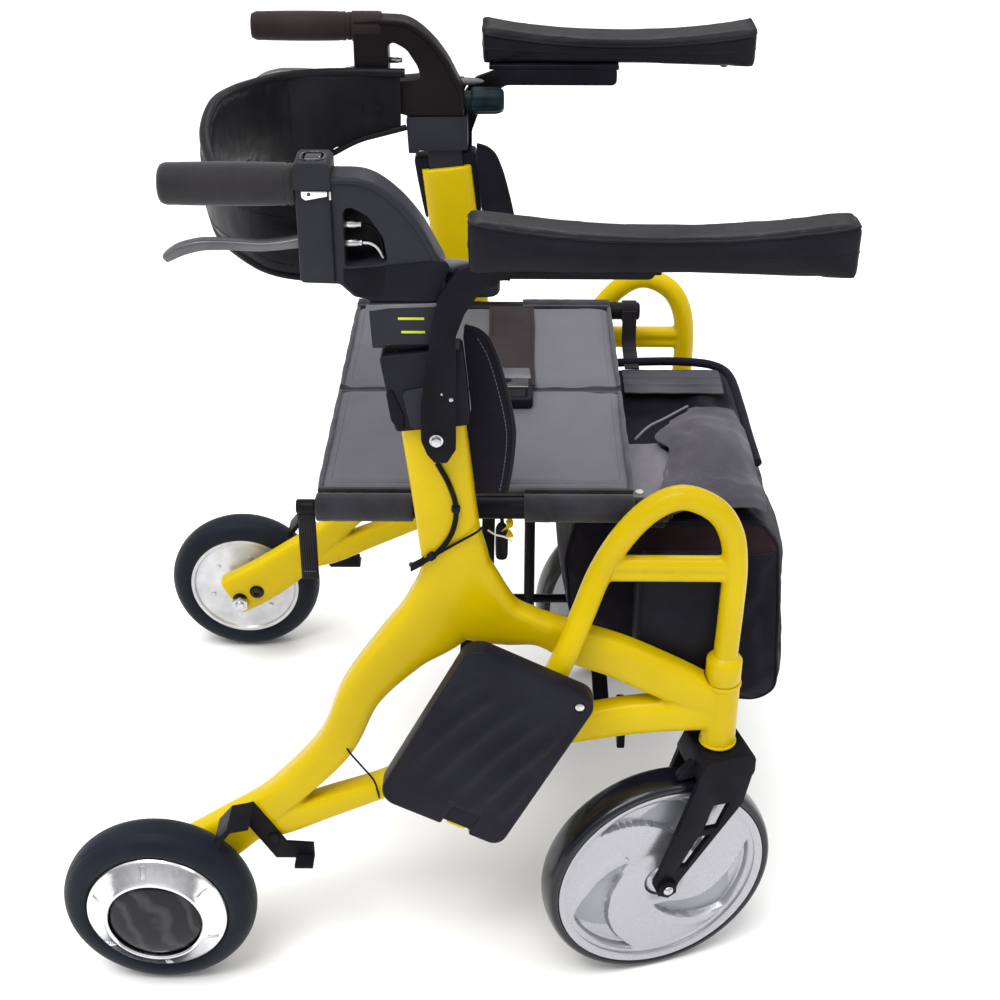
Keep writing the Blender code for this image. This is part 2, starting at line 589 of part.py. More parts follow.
def footplate(side, s, pin_at):
    owner = side + "_footplate"
    body(owner, side + "_hanger", pin_at)
    across, along = plate_axes()
    left, right = PLATE_OFF - PLATE_W / 2, PLATE_OFF + PLATE_W / 2
    top = PLATE_L - PLATE_TAIL
    y0, y1 = pin_at.y - s * PLATE_T / 2, pin_at.y + s * PLATE_T / 2
    corners = [(left, -PLATE_TAIL), (right, -PLATE_TAIL), (right, top), (left, top)]
    foot = Vector((PLATE_FOOT[0], 0, PLATE_FOOT[1]))
    outline = []
    for a, b in rounded(corners, 0.016, 3):
        spot = foot + across * a + along * b
        outline.append((spot.x, spot.z))
    notch = plate_block(y0 - s * 0.01, y1 + s * 0.01, -PLATE_NOTCH / 2, PLATE_NOTCH / 2, -0.03, 0.018)
    reach = PLATE_NOTCH / 2 + 0.022
    bore = cylinder(pin_at - across * reach, pin_at + across * reach, PIN_R + RUN, 12)
    steps = [("DIFFERENCE", notch), ("DIFFERENCE", bore)]
    hole = foot + across * (right - 0.014) + along * (top - 0.014)
    steps.append(("DIFFERENCE", cylinder((hole.x, y0 - s * 0.01, hole.z), (hole.x, y1 + s * 0.01, hole.z),
                                         0.0045, 12)))
    solid(owner, combine(plate(outline, y0, y1, 0.003), steps), "black", owner)


def height_post(side, s):
    owner = side + "_handle"
    body(owner, side + "_frame", (0, 0, 0))
    y = s * FRAME_Y
    post = plate(upright_quad(POST_LOW_Z, POST_TOP_Z, POST_HALF), y - POST_T / 2, y + POST_T / 2)
    solid(side + "_height_post", post, "black", owner)


def handle_body(side, s):
    """Quarter-arch housing that joins the post, the grip bar and the backrest band."""
    owner = side + "_handle"
    y0, y1 = s * (HANDLE_Y - HANDLE_T / 2), s * (HANDLE_Y + HANDLE_T / 2)
    outline = at_handle([(-0.178, 0.010), (-0.142, 0.002), (-0.112, 0.0), (-0.056, 0.0), (-0.056, 0.028),
                         (-0.064, 0.044), (-0.075, 0.066), (-0.094, 0.090), (-0.117, 0.108),
                         (-0.145, POD_LOW), (-0.178, POD_LOW)])
    window = at_handle([(-0.139, 0.030), (-0.104, 0.030), (-0.107, 0.056), (-0.119, 0.076), (-0.139, 0.087)])
    socket = upright_quad(HANDLE_Z - 0.042, POST_TOP_Z + GAP, POST_HALF + GAP)
    near, far = [x for x, z in at_handle([(-0.160, 0), (GRIP_X[0] + 0.006, 0)])]
    bar = cylinder((near, s * HANDLE_Y, GRIP_Z), (far, s * HANDLE_Y, GRIP_Z), 0.0105, 14)
    y_post = s * FRAME_Y
    low, high = at_handle([(-0.190, 0.0365), (-0.1515, 0.0615)])
    mouth = box((low[0], s * HANDLE_Y - LEVER_SLOT_HALF, low[1]),
                (high[0], s * HANDLE_Y + LEVER_SLOT_HALF, high[1]))
    block = plate(at_handle([(-0.118, 0.0005), (-0.118, -0.038), (-0.052, -0.038), (-0.052, 0.0005)]), y0, y1)
    steps = [("UNION", bar), ("UNION", block), ("DIFFERENCE", plate(window, y0 - s * 0.02, y1 + s * 0.02)),
             ("DIFFERENCE", plate(socket, y_post - POST_T / 2 - GAP, y_post + POST_T / 2 + GAP)),
             ("DIFFERENCE", mouth)]
    solid(side + "_handle_body", combine(plate(outline, y0, y1, 0.003), steps), "black", owner)


def grip(side, s):
    y = s * HANDLE_Y
    length = GRIP_X[1] - GRIP_X[0]
    shape = [(0, 0.0105 + GAP), (0, GRIP_R * 0.97), (length * 0.55, GRIP_R), (length - 0.005, GRIP_R * 0.98),
             (length, GRIP_R * 0.78), (length, 0.004), (length - 0.005, 0.004), (length - 0.005, 0.0105 + GAP)]
    front = at_handle([(GRIP_X[1], 0)])[0][0]
    loops = []
    for k in range(18):
        t = 2 * math.pi * k / 18
        loops.append([(front - a, y + r * math.cos(t), GRIP_Z + r * math.sin(t)) for a, r in shape])
    solid(side + "_grip", rings(loops, closed=True), "grip", side + "_handle")


def brake_lever(side, s):
    owner = side + "_brake_lever"
    y = s * HANDLE_Y
    px, pz = at_handle([LEVER_PIVOT])[0]
    body(owner, side + "_handle", (px, y, pz))
    line = [(0.006, 0.006), (0.006, -0.006), (-0.030, -0.0095), (-0.065, -0.0075), (-0.092, -0.0085),
            (-0.110, -0.0165), (-0.1225, -0.022), (-0.1255, -0.0155), (-0.111, -0.0055), (-0.092, 0.0005),
            (-0.065, 0.0015), (-0.030, -0.0005), (-0.006, 0.0065)]
    outline = [(px + a, pz + b) for a, b in line]
    half = LEVER_SLOT_HALF - GAP
    solid(side + "_brake_lever", plate(outline, y - half, y + half, 0.0015), "lever", owner)


def clamp_knob(side, s):
    """Knurled knob in front of the handle body that locks the height post."""
    owner = side + "_clamp_knob"
    y = s * HANDLE_Y
    middle, z = at_handle([(0.0, 0.015)])[0]
    body(owner, side + "_handle", (middle - 0.040, y, z))
    loops = []
    profile = [(-0.0556, 0.011), (-0.048, 0.011), (-0.046, 1), (-0.016, 1), (-0.010, 0.8), (-0.010, 0.0004),
               (-0.0556, 0.0004)]
    for k in range(24):
        t = 2 * math.pi * k / 24
        lobe = KNOB_R * (1 - 0.05 * (k % 2))
        loops.append([(middle + x, y + (r * lobe if r > 0.5 else r) * math.cos(t),
                       z + (r * lobe if r > 0.5 else r) * math.sin(t)) for x, r in profile])
    solid(side + "_clamp_knob", rings(loops, closed=True), "black", owner)


def armrest(side, s):
    owner = side + "_armrest"
    px, pz = ARM_PIVOT
    body(owner, side + "_frame", (px, s * ARM_Y, pz))
    y0, y1 = s * (ARM_Y - ARM_T / 2), s * (ARM_Y + ARM_T / 2)
    outline = [(-0.084, 0.625), (-0.066, 0.613), (-0.047, 0.625), (-0.044, 0.690), (-0.036, 0.735),
               (-0.030, 0.770), (-0.010, 0.788), (0.120, 0.788), (0.120, PAD_Z[0] - 0.0055),
               (-0.018, PAD_Z[0] - 0.0055), (-0.045, 0.790), (-0.062, 0.760), (-0.070, 0.700), (-0.085, 0.675)]
    rail = box((-0.028, s * (ARM_Y - ARM_T / 2), PAD_Z[0] - 0.0060),
               (0.150, s * (PAD_Y + 0.012), PAD_Z[0] - GAP))
    bolt = cylinder((px, y1 - s * 0.001, pz), (px, y1 + s * 0.005, pz), 0.008, 6)
    steps = [("UNION", rail), ("UNION", bolt)]
    solid(side + "_armrest_arm", combine(plate(outline, y0, y1), steps), "black", owner)
    loops = []
    stations = [(PAD_X[0], 0.70), (PAD_X[0] + 0.010, 0.94), (0.05, 1.0), (0.14, 1.0), (0.22, 1.0),
                (PAD_X[1] - 0.008, 0.96), (PAD_X[1], 0.80)]
    middle = (PAD_X[0] + PAD_X[1]) / 2
    for x, fill in stations:
        dip = 0.008 * (1 - ((x - middle) / 0.156) ** 2)
        high = PAD_Z[1] - dip
        low = PAD_Z[0] + (1 - fill) * 0.01
        half = PAD_W / 2 * fill
        top = high - (1 - fill) * 0.02
        loops.append([(x, s * PAD_Y - half * 0.8, low), (x, s * PAD_Y + half * 0.8, low),
                      (x, s * PAD_Y + half, low + 0.006), (x, s * PAD_Y + half, top - 0.007),
                      (x, s * PAD_Y + half * 0.72, top - 0.001), (x, s * PAD_Y, top + 0.001),
                      (x, s * PAD_Y - half * 0.72, top - 0.001), (x, s * PAD_Y - half, top - 0.007),
                      (x, s * PAD_Y - half, low + 0.006)])
    solid(side + "_armrest_pad", rings(loops), "leather", owner)


def side_guard(side, s):
    """Fabric panel in front of the upright that keeps clothing off the wheels."""
    y = s * (FRAME_Y - 0.0085)
    rear_low = upright_point(0.640, UPRIGHT_HALF + 0.007 + GAP)
    rear_top = upright_point(UPRIGHT_TOP_Z + 0.013, UPRIGHT_HALF + 0.007 + GAP)
    foot = upright_point(0.562, UPRIGHT_HALF + 0.001)
    outline = [foot, (0.014, foot[1]), (0.016, 0.600), (0.010, 0.645), (-0.004, 0.690),
               (-0.022, 0.722), (rear_top[0], 0.730), rear_top, rear_low,
               (foot[0] + 0.003, rear_low[1] - 0.003)]
    solid(side + "_side_guard", plate(outline, y - 0.002, y + 0.002), "bag", side + "_frame")


def seat_half(side, s):
    """Padded half seat with its sleeves on the rail and its knuckles on the centre pin."""
    owner = side + "_seat"
    low, high = HINGE_Z, HINGE_Z + SEAT_T
    edge = s * (RAIL_Y - SEAT_EDGE)
    mine = [(-0.175, -0.135), (0.060, 0.100)] if s < 0 else [(-0.130, -0.090), (0.036, 0.056)]
    away = [(-0.132, -0.088), (0.034, 0.058)] if s < 0 else [(-0.177, -0.133), (0.058, 0.102)]
    pockets = [(a, b, 0.011) for a, b in away] + [(ROD_X - ROD_R - 0.003, ROD_X + ROD_R + 0.003, ROD_POCKET)]
    outline = [(SEAT_X[0], edge), (SEAT_X[0], s * 0.002)]
    for a, b, depth in sorted(pockets):
        outline += [(a, s * 0.002), (a, s * depth), (b, s * depth), (b, s * 0.002)]
    outline += [(SEAT_X[1], s * 0.002), (SEAT_X[1], edge)]
    slab = rings([[(x, y, z) for x, y in outline] for z in (low, high)])
    crown = [(SEAT_X[0], low - 0.001), (SEAT_X[1], low - 0.001), (SEAT_X[1], high - 0.009),
             (SEAT_X[1] - 0.004, high - 0.004), (SEAT_X[1] - 0.014, high - 0.001),
             ((SEAT_X[0] + SEAT_X[1]) / 2, high), (SEAT_X[0] + 0.014, high - 0.001),
             (SEAT_X[0] + 0.004, high - 0.004), (SEAT_X[0], high - 0.009)]
    steps = [("INTERSECT", plate(crown, -s * 0.01, edge + s * 0.01))]
    for a, b in ((SEAT_X[0] + 0.001, -0.092), (0.012, SEAT_X[1] - 0.001)):
        steps.append(("UNION", cylinder((a, s * RAIL_Y, low), (b, s * RAIL_Y, low), SLEEVE_R, 16)))
        steps.append(("UNION", box((a, s * (RAIL_Y - 0.004), low + 0.0005),
                                   (b, edge - s * 0.004, low + SLEEVE_R - 0.001))))
    for a, b in mine:
        steps.append(("UNION", cylinder((a, 0, low), (b, 0, low), KNUCKLE_R, 12)))
    for a, b in mine:
        steps.append(("UNION", box((a, s * 0.0005, low + 0.001), (b, s * 0.006, low + KNUCKLE_R - 0.001))))
    steps.append(("DIFFERENCE", cylinder((-0.30, s * RAIL_Y, low), (0.30, s * RAIL_Y, low),
                                         RAIL_R + RUN, 16)))
    steps.append(("DIFFERENCE", cylinder((-0.30, 0, low), (0.30, 0, low), CENTRE_PIN_R + RUN, 12)))
    solid(side + "_seat_half", combine(slab, steps), "fabric", owner)


def centre_rod():
    """Vertical rod with the seat's centre pin above and the struts' centre pin below."""
    rod = cylinder((ROD_X, 0, LINK_Z - 0.012), (ROD_X, 0, HINGE_Z + 0.004), ROD_R, 12)
    upper = cylinder((SEAT_X[0] + 0.006, 0, HINGE_Z), (SEAT_X[1] - 0.006, 0, HINGE_Z), CENTRE_PIN_R, 12)
    lower = cylinder((-0.060, 0, LINK_Z), (0.107, 0, LINK_Z), LINK_PIN_R, 12)
    solid("centre_rod", combine(rod, [("UNION", upper), ("UNION", lower)]), "black", "centre_rod")


def strut(side, s):
    owner = side + "_strut"
    rows = ((-0.047, 0.095) if s < 0 else (-0.028, 0.076))
    y = s * RAIL_Y
    base = cylinder((-0.0605, y, LINK_Z), (0.1065, y, LINK_Z), LINK_R, 14)
    steps = []
    for x in rows:
        steps.append(("UNION", box((x - 0.008, s * 0.004, LINK_Z - 0.0035), (x + 0.008, y, LINK_Z + 0.0035))))
        steps.append(("UNION", cylinder((x - 0.008, 0, LINK_Z), (x + 0.008, 0, LINK_Z), LINK_R, 14)))
    steps.append(("DIFFERENCE", cylinder((-0.2, y, LINK_Z), (0.2, y, LINK_Z), LINK_PIN_R + RUN, 12)))
    steps.append(("DIFFERENCE", cylinder((-0.2, 0, LINK_Z), (0.2, 0, LINK_Z), LINK_PIN_R + RUN, 12)))
    solid(side + "_strut", combine(base, steps), "black", owner)


def lap_belt():
    top = HINGE_Z + SEAT_T + GAP
    for side, s in SIDES.items():
        reach = 0.062 if s > 0 else 0.056
        belt = box((-0.028, s * reach, top), (0.020, s * (RAIL_Y - 0.026), top + 0.003))
        solid(side + "_lap_belt", belt, "bag", side + "_seat")
    buckle = box((-0.026, -0.0555, top), (0.022, -0.004, top + 0.012), 0.003)
    solid("belt_buckle", buckle, "black", "right_seat")


def backrest_band():
    """Padded band round the back, from one handle body to the other."""
    side_y = HANDLE_Y - HANDLE_T / 2 - GAP - BAND_T / 2
    loops = []
    shift, foot = at_handle([(0.0, 0.010)])[0]
    fine = smooth_path([(x, share * side_y, foot - BAND_SAG * hang, foot - BAND_SAG * hang + BAND_H * height)
                        for x, share, hang, height in BAND_STATIONS], 0.034)
    for i, here in enumerate(fine):
        ahead = (fine[min(i + 1, len(fine) - 1)] - fine[max(i - 1, 0)]).to_2d().normalized()
        out = Vector((ahead.y, -ahead.x, 0)) * BAND_T / 2
        low, high = here.z, here.w
        loops.append([(shift + here.x + out.x * a, here.y + out.y * a, z) for a, z in
                      ((-0.6, low), (0.6, low), (1, low + 0.006), (1, high - 0.006), (0.6, high),
                       (-0.6, high), (-1, high - 0.006), (-1, low + 0.006))])
    solid("backrest_band", rings(loops), "leather", "right_handle")


def bag():
    x0, x1 = BAG_X
    corners = [(x0 - 0.004, 0.372), (x0 + 0.092, BAG_Z[0] + 0.003), (x1 - 0.005, BAG_Z[0]), (x1, 0.40),
               (x1 - 0.012, BAG_Z[1] - 0.02), (x1 - 0.045, BAG_Z[1]), (x0, BAG_Z[1])]
    base = plate(rounded(corners, 0.012, 2), -BAG_Y, BAG_Y, 0.006)
    steps = []
    for s in SIDES.values():
        steps.append(("UNION", box((0.131, s * (BAG_Y - 0.01), BAG_Z[1] - 0.026),
                                   (0.148, s * (RAIL_Y - RAIL_R - GAP), BAG_Z[1] - 0.006))))
        steps.append(("UNION", box((0.131, s * (RAIL_Y - RAIL_R - GAP), BAG_Z[1] - 0.010),
                                   (0.148, s * (RAIL_Y - RAIL_R - 0.004), HINGE_Z + 0.006))))
    solid("front_bag", combine(base, steps), "bag", "right_frame")


def battery_pack():
    outer = -(FRAME_Y - FRAME_T / 2 - GAP)
    case = box((PACK_X[0], outer, PACK_Z[0]), (PACK_X[1], outer + PACK_T, PACK_Z[1]), 0.005)
    solid("battery_pack", case, "black", "right_frame")


def control_pod():
    """Speed control on the right handle with its sprung drive button."""
    y = -HANDLE_Y
    middle, low = at_handle([(-0.163, POD_LOW + GAP)])[0]
    case = box((middle - 0.014, y - 0.016, low), (middle + 0.014, y + 0.016, low + 0.013), 0.002)
    well = box((middle - 0.008, y - 0.0075, low + 0.007), (middle + 0.008, y + 0.0075, low + 0.02))
    solid("control_pod", combine(case, [("DIFFERENCE", well)]), "black", "right_handle")
    body("drive_button", "right_handle", (middle, y, low + 0.016))
    button = box((middle - 0.0073, y - 0.0068, low + 0.0098), (middle + 0.0073, y + 0.0068, low + 0.0165),
                 0.0012)
    solid("drive_button", button, "lever", "drive_button")


def fold_pull():
    """Pull toggle that hangs on its cord from the right seat rail."""
    x, y, top = -0.009, -RAIL_Y, HINGE_Z - RAIL_R - GAP
    cord = cylinder((x, y, top - 0.035), (x, y, top), 0.002, 8)
    toggle = cylinder((x, y, top - 0.083), (x, y, top - 0.033), 0.0095, 14)
    solid("fold_pull", combine(cord, [("UNION", toggle)]), "black", "right_frame")


def corner_strap():
    """Webbing strap that hangs from the rear end of the right seat rail."""
    rear = SEAT_X[0] - GAP
    strap = box((rear - 0.017, -RAIL_Y - 0.002, HINGE_Z - 0.082), (rear, -RAIL_Y + 0.002, HINGE_Z + 0.008))
    solid("corner_strap", strap, "bag", "right_frame")


def brake_cable():
    """Cable clipped down the outer face of the right upright and round its rear edge."""
    y = -(FRAME_Y + FRAME_T / 2 + 0.0026)
    route = [(-0.066, y - 0.0005, 0.607), (-0.056, y, 0.585), (-0.050, y, 0.560), (-0.054, y, 0.535),
             (-0.066, y, 0.515), (-0.081, y, 0.503), (-0.0905, y + 0.003, 0.497),
             (-0.0935, y + 0.012, 0.492)]
    solid("brake_cable", tube(route, 0.0022, 0.007, 8), "black", "right_frame")


def build():
    clear_scene()
    body("right_frame")
    body("right_seat", "right_frame", (0, -RAIL_Y, HINGE_Z))
    body("left_seat", "right_seat", (0, 0, HINGE_Z))
    body("left_frame", "left_seat", (0, RAIL_Y, HINGE_Z))
    body("centre_rod", "right_seat", (0, 0, HINGE_Z))
    for side, s in SIDES.items():
        body(side + "_strut", side + "_frame", (0, s * RAIL_Y, LINK_Z))
        side_frame(side, s)
        seat_rail(side, s)
        upright_sleeve(side, s)
        rear_wheel(side, s)
        brake_arm(side, s)
        caster(side, s)
        footplate(side, s, leg_support(side, s))
        height_post(side, s)
        handle_body(side, s)
        grip(side, s)
        brake_lever(side, s)
        clamp_knob(side, s)
        armrest(side, s)
        side_guard(side, s)
        seat_half(side, s)
        strut(side, s)
    centre_rod()
    lap_belt()
    backrest_band()
    bag()
    battery_pack()
    control_pod()
    fold_pull()
    corner_strap()
    brake_cable()


build()
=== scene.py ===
"""Looks of the electric rollator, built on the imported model. Metres, +Z up, +X forwards."""
import json
import math

import bmesh
import bpy
import numpy as np
from mathutils import Matrix, Vector, noise
from mathutils.bvhtree import BVHTree

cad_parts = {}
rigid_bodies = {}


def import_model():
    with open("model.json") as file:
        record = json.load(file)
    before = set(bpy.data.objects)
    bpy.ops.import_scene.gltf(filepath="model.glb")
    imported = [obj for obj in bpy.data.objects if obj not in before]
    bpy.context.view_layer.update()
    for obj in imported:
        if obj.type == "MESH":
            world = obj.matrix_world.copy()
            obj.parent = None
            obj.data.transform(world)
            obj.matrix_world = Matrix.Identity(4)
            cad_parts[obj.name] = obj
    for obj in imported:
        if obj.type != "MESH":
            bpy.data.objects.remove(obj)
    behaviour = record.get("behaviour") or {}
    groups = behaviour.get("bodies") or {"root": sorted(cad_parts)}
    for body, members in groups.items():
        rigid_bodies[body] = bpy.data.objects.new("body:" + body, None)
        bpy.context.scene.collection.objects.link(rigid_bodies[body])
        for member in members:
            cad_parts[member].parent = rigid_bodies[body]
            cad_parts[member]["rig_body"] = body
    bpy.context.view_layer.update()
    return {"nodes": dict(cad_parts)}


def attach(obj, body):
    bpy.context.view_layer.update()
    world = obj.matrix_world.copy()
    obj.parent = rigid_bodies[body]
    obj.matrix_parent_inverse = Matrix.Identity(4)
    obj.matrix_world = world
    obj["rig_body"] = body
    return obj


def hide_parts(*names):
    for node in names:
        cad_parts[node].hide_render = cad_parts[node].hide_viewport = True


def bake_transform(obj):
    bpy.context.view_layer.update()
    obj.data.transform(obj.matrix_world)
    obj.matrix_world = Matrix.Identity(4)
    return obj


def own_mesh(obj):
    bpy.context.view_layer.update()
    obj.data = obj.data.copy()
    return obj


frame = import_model()

# The seat's station line, which the shapes below are measured from, in the row frame
STATION_X = 0.0895
STATION = Vector((STATION_X, 0, 0))

# Sizes and places that several pieces share, the same as in the part's source
GAP = 0.0004
RUN = 0.0006
FRAME_Y = 0.262
FRAME_T = 0.030
UPRIGHT_LEAN = math.radians(6.3)
UPRIGHT_FOOT = (-0.058, 0.530)
UPRIGHT_HALF = 0.029
UPRIGHT_TOP_Z = 0.702
POST_HALF = 0.020
POST_T = 0.017
POST_TOP_Z = 0.775
HEAD_X = 0.2085
HEAD_R = 0.0175
HEAD_LOW_Z = 0.280
HEAD_TOP_Z = 0.357
STEM_R = 0.0095
REAR_X = -0.363
REAR_R = 0.100
REAR_Y = 0.3037
REAR_TYRE_W = 0.045
RIM_R = 0.073
CAP_R = 0.050
CAP_Y = 0.036
RING_Y = 0.024
CASTER_R = 0.1237
CASTER_RIM_R = 0.1125
CASTER_W = 0.0365
CASTER_TRAIL = 0.0575
CASTER_YAW = math.radians(17)
FORK_IN = 0.0235
FORK_T = 0.006
HOOP_R = 0.012
LEG_Y = 0.301
PLATE_LEAN = math.radians(27.5)
PLATE_FOOT = (-0.0505, 0.236)
PLATE_T = 0.0215
RAIL_Y = 0.232
RAIL_R = 0.0105
HINGE_Z = 0.533
SEAT_T = 0.014
SEAT_X = (-0.185, 0.117)
LINK_Z = 0.275
HANDLE_Y = 0.264
HANDLE_T = 0.034
GRIP_Z = 0.860
GRIP_X = (-0.291, -0.1795)
LEVER_SLOT_HALF = 0.0072
ARM_Y = 0.2885
ARM_T = 0.008
PAD_Y = 0.314
PAD_W = 0.052
PAD_X = (-0.036, 0.276)
PAD_Z = (0.812, 0.842)

# The footplate's outline across and along its tilt, how far its hole stands in from two edges, how
# far the seat panel reaches from the centre hinge, and the seam near its outer edge
PLATE_A = (-0.086, 0.050)
PLATE_B = (-0.008, 0.195)
PLATE_HOLE_IN = 0.014
SEAT_Y = (0.0030, 0.2180)
SEAT_SEAM_Y = 0.2055

# Half the width of the bag's body
BAG_HALF = 0.1765

# Middle line of the backrest band, from the left handle round the back to the right one:
# x, y, lower edge, upper edge
BAND_LINE = [(-0.121, 0.2406, 0.7490, 0.8195), (-0.145, 0.2406, 0.7425, 0.8198),
             (-0.178, 0.2406, 0.7330, 0.8200), (-0.216, 0.2320, 0.7160, 0.8215),
             (-0.250, 0.2000, 0.7170, 0.8265), (-0.272, 0.1500, 0.7330, 0.8335),
             (-0.287, 0.0800, 0.7560, 0.8440), (-0.291, 0.0000, 0.7700, 0.8540),
             (-0.286, -0.0800, 0.7720, 0.8510), (-0.268, -0.1500, 0.7700, 0.8440),
             (-0.245, -0.2000, 0.7730, 0.8420), (-0.213, -0.2320, 0.7680, 0.8420),
             (-0.178, -0.2406, 0.7645, 0.8420), (-0.142, -0.2406, 0.7637, 0.8420),
             (-0.121, -0.2406, 0.7670, 0.8420)]

# The camera that the photo was matched with, and how far the floor reaches
CAMERA_AT = (STATION_X, -1.5117, 1.2908)
CAMERA_TURN = (59.654, -0.06, 0.51)
LENS_MM = 56.8
SENSOR_MM = 36
FLOOR_REACH = 120

SIDES = {"right": -1, "left": 1}
SURFACES = {}


class Surface:
    """One procedural material: a Principled shader and the textures that vary it."""

    def __init__(self, name, colour, rough, metal=0.0, **sockets):
        self.mat = bpy.data.materials.new(name)
        self.mat.use_nodes = True
        self.tree = self.mat.node_tree
        self.shader = self.tree.nodes["Principled BSDF"]
        self.shader.inputs["Base Color"].default_value = (*colour, 1)
        self.shader.inputs["Roughness"].default_value = rough
        self.shader.inputs["Metallic"].default_value = metal
        self.shader.inputs["Specular IOR Level"].default_value = 0.07 if max(colour) < 0.1 else 0.28
        for key, value in sockets.items():
            self.shader.inputs[key.replace("_", " ")].default_value = value
        self.mat.diffuse_color = (*colour, 1)
        self.place = self.node("ShaderNodeTexCoord").outputs["Object"]
        self.normal = None
        SURFACES[name] = self.mat

    def node(self, kind, **settings):
        made = self.tree.nodes.new(kind)
        for key, value in settings.items():
            setattr(made, key, value)
        return made

    def link(self, source, target):
        self.tree.links.new(source, target)

    def mapped(self, turn):
        move = self.node("ShaderNodeMapping")
        move.inputs["Rotation"].default_value = turn
        self.link(self.place, move.inputs["Vector"])
        return move.outputs["Vector"]

    def noise(self, scale, detail, rough=0.5):
        tex = self.node("ShaderNodeTexNoise")
        tex.inputs["Scale"].default_value = scale
        tex.inputs["Detail"].default_value = detail
        tex.inputs["Roughness"].default_value = rough
        self.link(self.place, tex.inputs["Vector"])
        return tex.outputs["Fac"]

    def cells(self, scale, feature="F1"):
        tex = self.node("ShaderNodeTexVoronoi", feature=feature)
        tex.inputs["Scale"].default_value = scale
        self.link(self.place, tex.inputs["Vector"])
        return tex.outputs["Distance"]

    def wave(self, scale, axis, distort=0.0, turn=None, detail=2.0):
        tex = self.node("ShaderNodeTexWave", bands_direction=axis)
        tex.inputs["Scale"].default_value = scale
        tex.inputs["Distortion"].default_value = distort
        tex.inputs["Detail"].default_value = detail
        tex.inputs["Detail Scale"].default_value = 1.5
        self.link(self.mapped(turn) if turn else self.place, tex.inputs["Vector"])
        return tex.outputs["Fac"]

    def span(self, value, low, high, a=0.0, b=1.0):
        """Map value from the range low to high onto a to b."""
        tool = self.node("ShaderNodeMapRange")
        for key, number in (("From Min", low), ("From Max", high), ("To Min", a), ("To Max", b)):
            tool.inputs[key].default_value = number
        self.link(value, tool.inputs["Value"])
        return tool.outputs["Result"]

    def maths(self, kind, a, b):
        tool = self.node("ShaderNodeMath", operation=kind)
        for k, value in enumerate((a, b)):
            if isinstance(value, (int, float)):
                tool.inputs[k].default_value = value
            else:
                self.link(value, tool.inputs[k])
        return tool.outputs["Value"]

    def tint(self, factor, first, second):
        """Colour the surface from first to second by factor."""
        tool = self.node("ShaderNodeMix", data_type="RGBA")
        tool.inputs["A"].default_value = (*first, 1)
        tool.inputs["B"].default_value = (*second, 1)
        self.link(factor, tool.inputs["Factor"])
        self.link(tool.outputs["Result"], self.shader.inputs["Base Color"])
        return self

    def clouds(self, scale, detail, first, second, rough=0.5, low=0.3, high=0.7):
        """Tint from first to second in soft clouds."""
        return self.tint(self.span(self.noise(scale, detail, rough), low, high), first, second)

    def shine(self, scale, detail, low, high, rough=0.5):
        """Vary the roughness from low to high in soft clouds."""
        cloud = self.noise(scale, detail, rough)
        self.link(self.span(cloud, 0.25, 0.75, low, high), self.shader.inputs["Roughness"])
        return self

    def bump(self, height, depth, strength=1.0):
        tool = self.node("ShaderNodeBump")
        tool.inputs["Distance"].default_value = depth
        tool.inputs["Strength"].default_value = strength
        self.link(height, tool.inputs["Height"])
        if self.normal:
            self.link(self.normal, tool.inputs["Normal"])
        self.normal = tool.outputs["Normal"]
        self.link(self.normal, self.shader.inputs["Normal"])
        return self


def weave(surface, pitch, depth, turn=(0, 0, 0)):
    """Plain weave of threads along two axes of the cloth, seen from any side."""
    scale = math.pi / (10 * pitch)
    across = surface.wave(scale, "X", turn=turn)
    along = surface.wave(scale, "Y", turn=turn)
    rise = surface.wave(scale, "Z", turn=turn)
    cross = surface.maths("MAXIMUM", surface.maths("MULTIPLY", across, along),
                          surface.maths("MULTIPLY", rise, across))
    surface.bump(cross, depth)
    return cross


